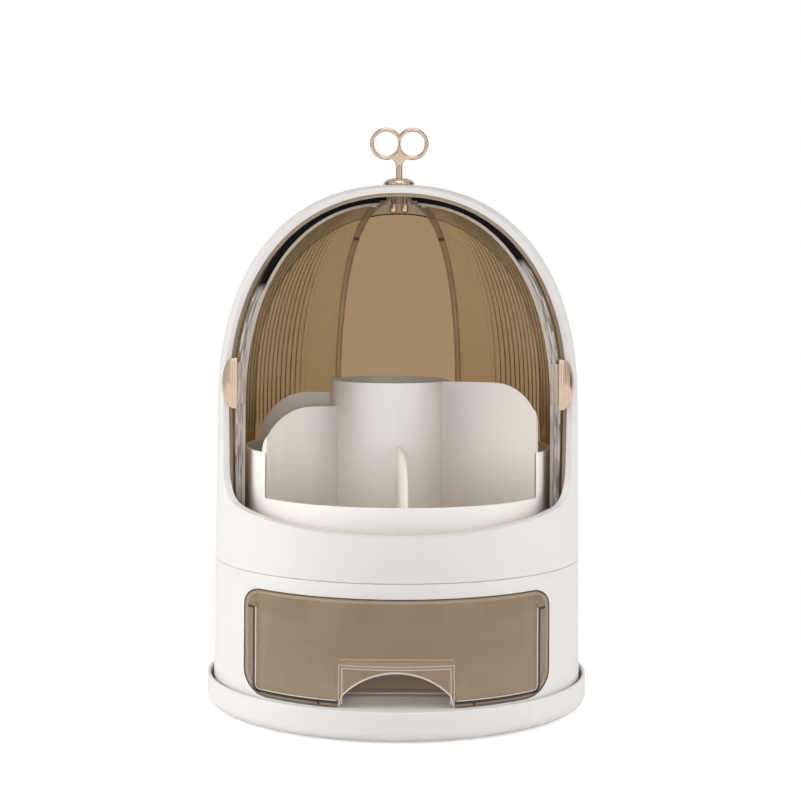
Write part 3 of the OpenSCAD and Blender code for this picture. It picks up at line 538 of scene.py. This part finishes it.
# The pieces that are the CAD solids with softened edges
# node: (new name, material, edge radius in mm, slot)
softened = {
    "base_tray": ("baseTray", "whitePlastic", 0.0, "white_plastic"),
    "base_feet": ("baseFeet", "footRubber", 0.2, "foot_rubber"),
    "glide_ring": ("glideRing", "acetal", 0.3, "acetal"),
    "swivel_washer": ("swivelWasher", "brightSteel", 0.1, "steel"),
    "swivel_screw": ("swivelScrew", "brightSteel", 0.2, "steel"),
    "lower_casing": ("lowerCasing", "whitePlastic", 0.35, "white_plastic"),
    "inner_deck": ("innerDeck", "whitePlastic", 0.25, "white_plastic"),
    "deck_screws": ("deckScrews", "brightSteel", 0.15, "steel"),
    "upper_casing": ("upperCasing", "whitePlastic", 0.9, "white_plastic"),
    "rear_dome": ("rearDome", "smokeDome", 0.0, "smoke_dome"),
    "insert_tray": ("insertTray", "litTrayWhite", 0.35, "white_plastic"),
    "brush_cup": ("brushCup", "litTrayWhite", 0.35, "white_plastic"),
    "tray_panel_left": ("trayPanelLeft", "whitePanel", 0.35, "white_plastic"),
    "tray_panel_right": ("trayPanelRight", "whitePanel", 0.35, "white_plastic"),
    "tray_divider_front": ("trayDividerFront", "whitePanel", 0.35, "white_plastic"),
    "tray_divider_side": ("trayDividerSide", "whitePanel", 0.35, "white_plastic"),
    "drawer": ("drawerBox", "smokeDrawer", 0.0, "smoke_drawer"),
    "drawer_front": ("drawerFront", "smokeFront", 0.5, "smoke_drawer"),
    "drawer_pocket": ("drawerPocket", "clearPlastic", 0.4, "clear_plastic"),
    "hinge_arm_left": ("hingeArmLeft", "clearPlastic", 0.2, "clear_plastic"),
    "hinge_arm_right": ("hingeArmRight", "clearPlastic", 0.2, "clear_plastic"),
    "hinge_screw_left": ("hingeScrewLeft", "brightSteel", 0.2, "champagne_metal"),
    "hinge_screw_right": ("hingeScrewRight", "brightSteel", 0.2, "champagne_metal"),
    "hinge_pin_left": ("hingePinLeft", "champagneMetal", 0.0, "champagne_metal"),
    "hinge_pin_right": ("hingePinRight", "champagneMetal", 0.0, "champagne_metal"),
    "handle_block_left": ("handleBlockLeft", "roseClear", 0.3, "clear_plastic"),
    "handle_block_right": ("handleBlockRight", "roseClear", 0.3, "clear_plastic"),
}
softening = {"wideFrom": 0.8, "wideSteps": 4, "steps": 2}  # wide edges, in mm, get more steps

nodeBody = {node: body for body, nodes in frame["record"]["behaviour"]["bodies"].items()
            for node in nodes}
for node, (name, material, radius, slot) in softened.items():
    piece = mergedCopy(node)
    if radius:
        wide = radius > softening["wideFrom"]
        bevelEdges(piece, radius * mm, softening["wideSteps" if wide else "steps"])
    ready(piece, name, material, nodeBody[node])
    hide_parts(node)
print("softened pieces:", len(softened))


def quarterCurve(radius, rise, low, curve, steps):
    # reach and height of points from the foot of a dome to its crown
    points = []
    for step in range(steps + 1):
        turn = math.radians(90 * step / steps)
        points.append((radius * max(math.cos(turn), 0) ** (2 / curve),
                       low + rise * math.sin(turn) ** (2 / curve)))
    return points


def domePath(inset):
    # from the foot up the wall and over the shoulder to the hub, in the plane x = 0, y < 0
    d, f = doorSkin, flutes
    radius = d["radius"] - inset
    rise = d["rise"] - inset
    path = [(radius, height) for height in (
        d["foot"], 0.5 * (d["foot"] + f["foot"]), f["foot"] - f["footFade"], f["foot"],
        f["foot"] + f["footFade"])]
    path += [(reach, height) for reach, height in quarterCurve(
        radius, rise, d["spring"], d["curve"], d["rows"]) if reach > d["hub"]]
    crown = (1 - (d["hub"] / radius) ** d["curve"]) ** (1 / d["curve"])
    path.append((d["hub"], d["spring"] + rise * crown))
    return [Vector((0, -reach, height)) for reach, height in path]


def tracePath(points, name):
    # a chain of edges, drawn by extruding one vertex from point to point
    bpy.ops.object.select_all(action="DESELECT")
    bpy.ops.mesh.primitive_plane_add(size=1 * mm, location=points[0])
    piece = bpy.context.object
    piece.name = name
    editAll(bakePlace(piece))
    bpy.ops.mesh.select_mode(type="VERT")
    bpy.ops.mesh.merge(type="CENTER")
    for here, there in zip(points, points[1:]):
        bpy.ops.mesh.extrude_region_move(TRANSFORM_OT_translate={"value": there - here})
    leaveEdit()
    return piece


def flutedSkin():
    # the quarter shell of a closed left door about its own pin, still plain on the inside
    d = doorSkin
    outer = domePath(0)
    inner = domePath(d["wall"])
    loop = outer + inner[::-1] + outer[:1]
    piece = tracePath(loop, "doorSkin")
    editAll(piece)
    bpy.ops.mesh.remove_doubles(threshold=weld["node"])
    bpy.ops.mesh.spin(steps=flutes["count"] * flutes["steps"], angle=math.radians(90),
                      center=(0, 0, 0), axis=(0, 0, 1))
    leaveEdit()
    low = min(v.co.x for v in piece.data.vertices)
    if low > -d["radius"] / 2:  # the spin went to the other side
        settle(piece, mirror=True)
    for plane in (0, 1):  # close both ends
        editSelect(piece, lambda v: abs(v.co[plane]) < weld["path"])
        bpy.ops.mesh.fill(use_beauty=True)
        leaveEdit()
    return closeSkin(piece)


def ribWeights(piece):
    # 1 on the crest of a rib and 0 in the groove between two, on the inner face only
    d, f = doorSkin, flutes
    crests = {}
    grooves = [0.0] * len(piece.data.vertices)
    for vertex in piece.data.vertices:
        x, y, z = vertex.co
        radius = math.hypot(x, y)
        height = max(z - d["spring"], 0)
        full = (radius / (d["radius"] - d["wall"])) ** d["curve"] \
            + (height / (d["rise"] - d["wall"])) ** d["curve"]
        if full > f["innerLimit"] or radius < d["hub"] * f["hubClear"]:
            continue
        step = round(math.atan2(-x, -y) / math.radians(90) * f["count"] * f["steps"])
        phase = step % f["steps"]
        rear = min(max((f["count"] - f["plain"] - step / f["steps"]) / f["rearFade"], 0), 1)
        foot = min(max((z - f["foot"]) / f["footFade"], 0), 1)
        crown = min(radius / (f["crownFade"] * d["radius"]), 1)
        strength = rear * foot * crown
        crests[vertex.index] = strength * math.sin(math.pi * phase / f["steps"]) ** f["crest"]
        if phase == 0:
            grooves[vertex.index] = strength
    group = piece.vertex_groups.new(name="ribs")
    for index, weight in crests.items():
        group.add([index], weight, "REPLACE")
    piece.data.attributes.new("groove", "FLOAT", "POINT").data.foreach_set("value", grooves)
    return group.name


def cutByPlane(piece, point, normal):
    # keeps what lies on the side that the normal points to, and closes the cut
    editAll(piece)
    bpy.ops.mesh.bisect(plane_co=point, plane_no=normal, use_fill=True, clear_inner=True,
                        threshold=weld["cut"])
    leaveEdit()


def duplicateOf(piece, name):
    twin = bpy.data.objects.new(name, piece.data.copy())
    bpy.context.collection.objects.link(twin)
    return twin


def toPin(piece):
    # turns a piece of the open left door to the closed place, with its pin at the origin
    d = doorSkin
    pin = Matrix.Rotation(math.radians(d["swing"]), 3, "Z") @ Vector((d["pinX"], 0, 0))
    return settle(piece, move=pin, turn=d["swing"])


def hangCopy(source, name, side):
    # a copy of a piece of the closed left door, opened on its own side of the box
    piece = duplicateOf(source, name)
    settle(piece, turn=-doorSkin["swing"])
    return settle(piece, move=(-doorSkin["pinX"], 0, 0), mirror=side > 0)


def doorPieces():
    d = doorSkin
    skin = flutedSkin()
    applyModifier(skin, "DISPLACE", strength=flutes["depth"], mid_level=0.0,
                  vertex_group=ribWeights(skin))
    cutByPlane(skin, (0, -d["rearEdge"], 0), (0, -1, 0))
    # the two flanges are what the CAD door has beyond the planes where the skin ends
    leadFlange = toPin(mergedCopy("door_left"))
    rearFlange = duplicateOf(leadFlange, "rearFlange")
    cutByPlane(leadFlange, (0, 0, 0), (1, 0, 0))
    # just past the step of the flange, so that no two faces lie in one plane
    cutByPlane(rearFlange, (0, -d["rearEdge"] - d["past"], 0), (0, 1, 0))
    cutByPlane(rearFlange, (0, 0, 0), (-1, 0, 0))
    return skin, leadFlange, rearFlange


doorClip = {"reach": 70 * mm, "height": 317.2 * mm, "long": 2.2 * mm, "width": 3.6 * mm,
            "thick": 1.4 * mm, "slope": 41, "round": 0.2 * mm}


def clipPiece():
    # the small dark clip on the rear flange
    c = doorClip
    bpy.ops.object.select_all(action="DESELECT")
    bpy.ops.mesh.primitive_cube_add(size=1, location=(-c["reach"], -c["width"] / 2, c["height"]))
    piece = bpy.context.object
    piece.scale = (c["long"], c["width"], c["thick"])
    piece.rotation_euler = (0, math.radians(-c["slope"]), 0)
    bevelEdges(bakePlace(piece), c["round"])
    return piece


skin, leadFlange, rearFlange = doorPieces()
clip = clipPiece()
for side, body in ((-1, "door_left"), (1, "door_right")):
    word = "Left" if side < 0 else "Right"
    for source, name, material, slot, angle in (
            (skin, "doorSkin", "smokeDoor", "smoke_door", 50),
            (leadFlange, "doorEdge", "leadEdge", "smoke_door", 35),
            (rearFlange, "doorRearEdge", "rearEdge", "smoke_door", 35),
            (clip, "doorClip", "darkClipAndEdgeShade", "smoke_door", 35)):
        piece = hangCopy(source, name + word, side)
        ready(piece, name + word, material, body, angle)
        if source is skin:
            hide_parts(body)
for piece in (skin, leadFlange, rearFlange, clip):
    bpy.data.objects.remove(piece)
print("doors fluted")


# The outline of a grip bows out from the door, and upright ribs stand on its face
handle = {"ribs": 4, "ribRadius": 0.5 * mm, "ribSunk": 0.34 * mm, "firstRib": 1.6 * mm,
          "ribPitch": 1.75 * mm, "ribShort": 2.2 * mm, "ribSides": 16, "ribRound": 0.3 * mm,
          "out": 9 * mm, "halfHeight": 17 * mm, "centre": 219 * mm, "gap": 0.1 * mm,
          "face": 3.8 * mm, "bow": 0.7, "round": 0.7 * mm, "roundSteps": 3, "roundFrom": 50}


def grippedHandle():
    # the left handle, turned to the closed place about its pin, with upright ribs on its face
    h = handle
    piece = mergedCopy("handle_left")
    bevelEdges(piece, h["round"], h["roundSteps"], h["roundFrom"])
    toPin(piece)
    ribs = []
    for index in range(h["ribs"]):
        out = h["firstRib"] + h["ribPitch"] * index
        half = h["halfHeight"] * math.sqrt(1 - (out / h["out"]) ** (2 / h["bow"])) - h["ribShort"]
        bpy.ops.object.select_all(action="DESELECT")
        bpy.ops.mesh.primitive_cylinder_add(
            vertices=h["ribSides"], radius=h["ribRadius"], depth=2 * half,
            location=(h["face"] - h["ribSunk"], -doorSkin["radius"] - h["gap"] - out, h["centre"]))
        rib = bakePlace(bpy.context.object)
        bevelEdges(rib, h["ribRound"], 2, h["roundFrom"])
        ribs.append(rib)
    return joinInto(piece, ribs)


grip = grippedHandle()
for side, body in ((-1, "door_left"), (1, "door_right")):
    word = "Left" if side < 0 else "Right"
    piece = hangCopy(grip, "handle" + word, side)
    ready(piece, "handle" + word, "champagneMetal", body, 45)
    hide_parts("handle_" + word.lower())
bpy.data.objects.remove(grip)
print("handles ribbed")


key = {"middle": 382.4 * mm, "pitch": 18.3 * mm, "ring": 9.8 * mm, "wire": 1.4 * mm,
       "stem": 2.2 * mm, "stemTop": 368.4 * mm, "shoulder": 358.9 * mm, "peg": 1.9 * mm,
       "pegTop": 359.9 * mm, "foot": 352.2 * mm, "webThick": 2.4 * mm, "overlap": 0.2 * mm,
       "ringSteps": 96, "wireSteps": 24, "stemSteps": 48,
       "voxel": 0.2 * mm, "smooth": 0.5, "passes": 8}
# half outlines of the two webs between the rings, x and height from the middle, in mm
webOutlines = [[(0, -3.4), (1.6, -6.0), (4.2, -8.4), (8.4, -9.6), (6.2, -10.3), (4.2, -11.3),
                (2.9, -13.0), (2.1, -16.0), (0, -16.0)],
               [(0, 7.3), (1.6, 8.0), (3.4, 9.2), (3.4, 7.4), (0, 3.8)]]


def webPiece(outline):
    # a solid web between the rings, from half of its outline
    k = key
    side = [Vector((x * mm, -k["webThick"] / 2, k["middle"] + z * mm)) for x, z in outline]
    other = [Vector((-p.x, p.y, p.z)) for p in side[-2:0:-1]]
    piece = tracePath(side + other + side[:1], "web")
    editAll(piece)
    bpy.ops.mesh.remove_doubles(threshold=weld["path"])
    bpy.ops.mesh.edge_face_add()
    bpy.ops.mesh.extrude_region_move(TRANSFORM_OT_translate={"value": (0, k["webThick"], 0)})
    leaveEdit()
    return closeSkin(piece)


def roundKey():
    # one smooth skin round the two rings, the webs, the stem and its peg
    k = key
    parts = [webPiece(outline) for outline in webOutlines]
    for side in (-1, 1):
        bpy.ops.object.select_all(action="DESELECT")
        bpy.ops.mesh.primitive_torus_add(
            major_segments=k["ringSteps"], minor_segments=k["wireSteps"],
            major_radius=k["ring"], minor_radius=k["wire"],
            location=(side * k["pitch"] / 2, 0, k["middle"]), rotation=(math.radians(90), 0, 0))
        ring = bakePlace(bpy.context.object)
        # each ring ends where the other one begins, so that both holes stay round
        cutByPlane(ring, (-side * k["overlap"], 0, 0), (side, 0, 0))
        parts.append(ring)
    for radius, low, high in ((k["stem"], k["shoulder"], k["stemTop"]),
                              (k["peg"], k["foot"], k["pegTop"])):
        bpy.ops.object.select_all(action="DESELECT")
        bpy.ops.mesh.primitive_cylinder_add(vertices=k["stemSteps"], radius=radius,
                                            depth=high - low, location=(0, 0, (low + high) / 2))
        parts.append(bakePlace(bpy.context.object))
    piece = joinInto(parts[0], parts[1:])
    applyModifier(piece, "REMESH", mode="VOXEL", voxel_size=k["voxel"])
    applyModifier(piece, "SMOOTH", factor=k["smooth"], iterations=k["passes"])
    return piece


knob = {"radius": 10.9 * mm, "low": 354 * mm, "rise": 4.8 * mm, "curve": 2.3, "steps": 14,
        "sides": 64}


def knobPiece():
    # the button under the key, turned from half of its outline
    k = knob
    points = [Vector((0, 0, k["low"]))]
    points += [Vector((reach, 0, height)) for reach, height in quarterCurve(
        k["radius"], k["rise"], k["low"], k["curve"], k["steps"])]
    piece = tracePath(points, "finialBase")
    editAll(piece)
    bpy.ops.mesh.spin(steps=k["sides"], angle=math.radians(360), center=(0, 0, 0),
                      axis=(0, 0, 1))
    leaveEdit()
    return closeSkin(piece, weld["pole"])


for node, name, piece in (("finial_key", "finialKey", roundKey()),
                          ("finial_base", "finialBase", knobPiece())):
    ready(piece, name, "champagneMetal", nodeBody[node], 50)
    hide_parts(node)
print("key rounded")


arch = {"halfWidth": 36.5 * mm, "top": 46 * mm}


def nearArch(spot):
    return abs(spot.x) < arch["halfWidth"] and spot.z < arch["top"]


# Lines that clear plastic shows along its edges: the pale rods are painted highlights and the dark
# ones painted shade
# name: (node, material, rod radius in mm, angle of an edge in degrees, slot, which edges)
edgeLines = {
    "pocketLines": ("drawer_pocket", "paintedEdgeGlint", 0.34, 40, "clear_plastic", None),
    "archLines": ("drawer_front", "paintedEdgeGlint", 0.34, 60, "smoke_drawer", nearArch),
    "drawerLines": ("drawer", "paintedEdgeShade", 0.22, 60, "smoke_drawer", None),
    "armLinesLeft": ("hinge_arm_left", "paintedEdgeGlint", 0.12, 50, "clear_plastic", None),
    "armLinesRight": ("hinge_arm_right", "paintedEdgeGlint", 0.12, 50, "clear_plastic", None),
}
for name, (node, material, radius, angle, slot, keep) in edgeLines.items():
    piece = rodsFromEdges(sharpEdges(node, angle, keep), radius * mm)
    ready(piece, name, material, nodeBody[node])

hoopLine = {"radius": 117.4 * mm, "spring": 200 * mm, "rise": 147.4 * mm, "curve": 2.3,
            "foot": 172 * mm, "steps": 60, "rod": 0.45 * mm}


def hoopPath():
    # a dark rod of painted shade along the inside of the clear dome, where the white hoop ends
    # behind it
    h = hoopLine
    side = math.sqrt(h["radius"] ** 2 - hoopRear ** 2)
    points = [Vector((-side, hoopRear, h["foot"]))]
    for step in range(h["steps"] + 1):
        x = -side * math.cos(math.radians(180 * step / h["steps"]))
        full = min(math.hypot(x, hoopRear) / h["radius"], 1)
        crown = (1 - full ** h["curve"]) ** (1 / h["curve"])
        points.append(Vector((x, hoopRear, h["spring"] + h["rise"] * crown)))
    return points + [Vector((side, hoopRear, h["foot"]))]


piece = rodsFromEdges(tracePath(hoopPath(), "hoopLine"), hoopLine["rod"])
ready(piece, "hoopLine", "darkClipAndEdgeShade", nodeBody["rear_dome"], 60)
print("edge lines drawn")


# The seam round the drawer front and the runner ticks, as painted shade, with a pale glint on its
# inside as a painted highlight
seam = {"radius": 125.03 * mm, "depth": 0.4 * mm, "round": 4.0 * mm, "low": 23.8 * mm,
        "high": 77.2 * mm, "side": 92.3 * mm, "hook": 96.3 * mm, "pocket": 36.8 * mm,
        "runner": 49 * mm, "runnerFoot": 21.7 * mm, "degreesPerStep": 1.5, "bendSteps": 8}
seamKinds = {"drawerSeam": {"material": "darkClipAndEdgeShade", "width": 1.7 * mm, "inset": 0.0},
             "drawerGlint": {"material": "paintedEdgeGlint", "width": 0.45 * mm, "inset": 1.3 * mm}}


def seamArc(fromX, toX, height, width, name):
    # a thin strip along the front, from one x to another, spun about the axis
    s = seam
    first = math.degrees(math.asin(fromX / s["radius"]))
    last = math.degrees(math.asin(toX / s["radius"]))
    bpy.ops.object.select_all(action="DESELECT")
    bpy.ops.mesh.primitive_plane_add(size=1, location=(0, -s["radius"], height))
    piece = bpy.context.object
    piece.name = name
    piece.rotation_euler = (0, math.radians(90), 0)
    piece.scale = (width, s["depth"], 1)
    editAll(bakePlace(piece))
    steps = max(int((last - first) / s["degreesPerStep"]), 2)
    bpy.ops.mesh.spin(steps=steps, angle=math.radians(first - last), center=(0, 0, 0),
                      axis=(0, 0, 1))
    leaveEdit()
    return settle(piece, turn=first)


def seamPost(x, low, high, width, name):
    # an upright strip, flush with the drawer front
    s = seam
    bpy.ops.object.select_all(action="DESELECT")
    bpy.ops.mesh.primitive_cube_add(size=1, location=(
        x, -math.sqrt(s["radius"] ** 2 - x ** 2), (low + high) / 2))
    piece = bpy.context.object
    piece.name = name
    piece.scale = (width, s["depth"], high - low)
    piece.rotation_euler = (0, 0, math.asin(x / s["radius"]))
    return bakePlace(piece)


def seamCorner(inset, width, name):
    # the bend between the upright strip and the one along the bottom
    s = seam
    middle = Vector((s["side"] - s["round"], 0, s["low"] + s["round"]))
    reach = s["round"] - inset
    points = []
    for step in range(s["bendSteps"] + 1):
        turn = math.radians(90 * step / s["bendSteps"])
        x = middle.x + reach * math.cos(turn)
        points.append(Vector((x, -math.sqrt(s["radius"] ** 2 - x ** 2),
                              middle.z - reach * math.sin(turn))))
    return rodsFromEdges(tracePath(points, name), width / 2)


for side in (-1, 1):
    s = seam
    word = "Left" if side < 0 else "Right"
    for name, kind in seamKinds.items():
        inset, width = kind["inset"], kind["width"]
        parts = [seamArc(s["pocket"] + inset, s["side"] - s["round"], s["low"] + inset, width,
                         "low"),
                 seamPost(s["side"] - inset, s["low"] + s["round"], s["high"] + width / 2,
                          width, "post"),
                 seamCorner(inset, width, "corner")]
        if not inset:
            parts += [seamArc(s["side"], s["hook"], s["high"], width, "hook"),
                      seamPost(s["runner"], s["runnerFoot"], s["low"], width, "runner")]
        piece = joinInto(parts[0], parts[1:])
        closeSkin(settle(piece, mirror=side < 0), weld["rod"])
        ready(piece, name + word, kind["material"], "drawer")
print("drawer seams drawn")


stage = {"floor": 24.0, "floorColour": shade(0.82, 0.82, 0.82), "floorRough": 0.6,
         "driftScale": 3.0, "roughDrift": 0.1, "lift": 0.50, "fadeFrom": 0.20, "fadeTo": 0.46,
         "sky": 0.18, "inGloss": 0.4}


def seenRays(start, inGloss):
    # 1 for what the camera sees directly or through something clear, inGloss in a reflection
    straight, clear, gloss = (start.node("ShaderNodeLightPath", {}, {}, ray) for ray in
                              ("Is Camera Ray", "Is Transmission Ray", "Is Glossy Ray"))
    return start.maths("MINIMUM", 1.0, straight + clear + inGloss * gloss)


def buildFloor():
    bpy.ops.object.select_all(action="DESELECT")
    bpy.ops.mesh.primitive_plane_add(size=stage["floor"], location=(0, 0, 0))
    floor = bpy.context.object
    floor.name = "floor"
    material, start = newMaterial("paleFloor")
    place = start.node("ShaderNodeTexCoord", {}, {}, "Object")
    drift = noise(start, place, stage["driftScale"])
    surface = start.node("ShaderNodeBsdfPrincipled", {}, {
        "Base Color": stage["floorColour"], "Specular IOR Level": 0.1,
        "Roughness": stage["floorRough"] + stage["roughDrift"] * drift})
    # what the camera sees keeps the shadow close to the box and is plain white further out
    lift = start.node("ShaderNodeEmission", {}, {"Strength": stage["lift"]})
    near = start.node("ShaderNodeAddShader", {}, {0: surface, 1: lift})
    white = start.node("ShaderNodeEmission", {}, {"Strength": 1.0})
    away = start.node("ShaderNodeVectorMath", {"operation": "LENGTH"}, {0: place}, "Value")
    fade = ramp(start, away, stage["fadeFrom"], stage["fadeTo"])
    shown = start.node("ShaderNodeMixShader", {}, {0: fade, 1: near, 2: white})
    closeMaterial(start, start.node("ShaderNodeMixShader", {}, {
        0: seenRays(start, stage["inGloss"]), 1: surface, 2: shown}))
    floor.data.materials.append(material)


def buildWorld():
    world = bpy.data.worlds.new("studio")
    bpy.context.scene.world = world
    world.use_nodes = True
    world.node_tree.nodes.clear()
    start = Wire(world.node_tree)
    light = start.node("ShaderNodeBackground", {}, {
        "Color": shade(1.0, 1.0, 1.0),
        "Strength": stage["sky"] + (1.0 - stage["sky"]) * seenRays(start, stage["inGloss"])})
    start.node("ShaderNodeOutputWorld", {}, {"Surface": light})


lampAim = (0, 0, 0.18)
lamps = {
    "leftLamp": {"place": (-2.0, -0.55, 0.95), "size": 1.5, "power": 39, "inGloss": False},
    "rightLamp": {"place": (2.0, -0.65, 0.9), "size": 1.5, "power": 31, "inGloss": False},
    "topLamp": {"place": (0.1, -0.5, 2.1), "size": 1.3, "power": 6, "inGloss": True},
    "frontLamp": {"place": (-0.4, -2.35, 0.55), "size": 1.2, "power": 9, "inGloss": False},
    "backLamp": {"place": (0.3, 2.1, 1.1), "size": 1.8, "power": 14, "inGloss": False},
}


def lookAt(aim, place):
    # how a lamp or card at a place is turned to look at the aim
    return (Vector(aim) - place).to_track_quat("-Z", "Y").to_euler()


def buildLamps():
    for name, lamp in lamps.items():
        data = bpy.data.lights.new(name, "AREA")
        data.size = lamp["size"]
        data.energy = lamp["power"]
        made = bpy.data.objects.new(name, data)
        bpy.context.collection.objects.link(made)
        made.location = lamp["place"]
        made.rotation_euler = lookAt(lampAim, made.location)
        made.visible_camera = False
        made.visible_glossy = lamp["inGloss"]


cardAim = (0, 0, 0.2)
cardFinish = {"colour": shade(0.012, 0.011, 0.011), "rough": 0.8, "roughDrift": 0.1,
              "driftScale": 4.0}
# cards that only gloss sees, black or shining, so that metal and clear edges get their lines
cards = {
    "blackMiddle": {"place": (-0.78, -2.5, 0.5), "wide": 0.22, "high": 2.6, "shine": 0.0},
    "blackLeft": {"place": (-2.1, 0.55, 0.6), "wide": 0.9, "high": 2.4, "shine": 0.0},
    "blackRight": {"place": (2.1, 0.55, 0.6), "wide": 0.9, "high": 2.4, "shine": 0.0},
    "blackTop": {"place": (0.0, 0.5, 2.6), "wide": 1.6, "high": 0.6, "shine": 0.0},
    "brightLeft": {"place": (-1.55, -1.8, 0.6), "wide": 1.1, "high": 1.8, "shine": 0.95},
    "brightRight": {"place": (1.45, -1.9, 0.6), "wide": 1.1, "high": 1.8, "shine": 0.95},
    "brightTop": {"place": (0.0, -1.6, 2.0), "wide": 1.2, "high": 0.7, "shine": 1.0},
    "brightMiddle": {"place": (0.12, -2.7, 0.6), "wide": 0.7, "high": 2.4, "shine": 0.85},
}


def cardMaterial(name, shine):
    material, start = newMaterial(name)
    finish = cardFinish
    place = start.node("ShaderNodeTexCoord", {}, {}, "Object")
    drift = noise(start, place, finish["driftScale"])
    closeMaterial(start, start.node("ShaderNodeBsdfPrincipled", {}, {
        "Base Color": finish["colour"],
        "Roughness": finish["rough"] + finish["roughDrift"] * drift,
        "Specular IOR Level": 0.0, "Emission Color": shade(1.0, 1.0, 1.0),
        "Emission Strength": shine}))
    return material


def buildCards():
    for name, card in cards.items():
        bpy.ops.object.select_all(action="DESELECT")
        bpy.ops.mesh.primitive_plane_add(size=1, location=card["place"])
        made = bpy.context.object
        made.name = name
        made.scale = (card["wide"], card["high"], 1)
        made.rotation_euler = lookAt(cardAim, made.location)
        made.data.materials.append(cardMaterial(name, card["shine"]))
        made.visible_camera = False
        made.visible_diffuse = False
        made.visible_transmission = False
        made.visible_shadow = False


# Distance and height in m, film in mm, roll in degrees, and the rest in pixels of the frame
lens = {"distance": 1.270, "height": 0.3006, "focus": 1833, "side": 803, "film": 36,
        "horizonRow": 262, "axisColumn": 398.7, "frameWidth": 801, "roll": 0.32}


def buildCamera():
    data = bpy.data.cameras.new("camera")
    data.sensor_width = lens["film"]
    data.lens = lens["focus"] / lens["side"] * lens["film"]
    data.shift_x = (lens["frameWidth"] / 2 - lens["axisColumn"]) / lens["side"]
    data.shift_y = (lens["horizonRow"] - lens["side"] / 2) / lens["side"]
    made = bpy.data.objects.new("camera", data)
    bpy.context.collection.objects.link(made)
    made.matrix_world = Matrix.Translation((0, -lens["distance"], lens["height"])) \
        @ Matrix.Rotation(math.radians(90), 4, "X") \
        @ Matrix.Rotation(math.radians(lens["roll"]), 4, "Z")
    bpy.context.scene.camera = made


buildFloor()
buildWorld()
buildLamps()
buildCards()
buildCamera()
bpy.context.scene.view_settings.view_transform = "Standard"
print("stage, lamps and camera set")
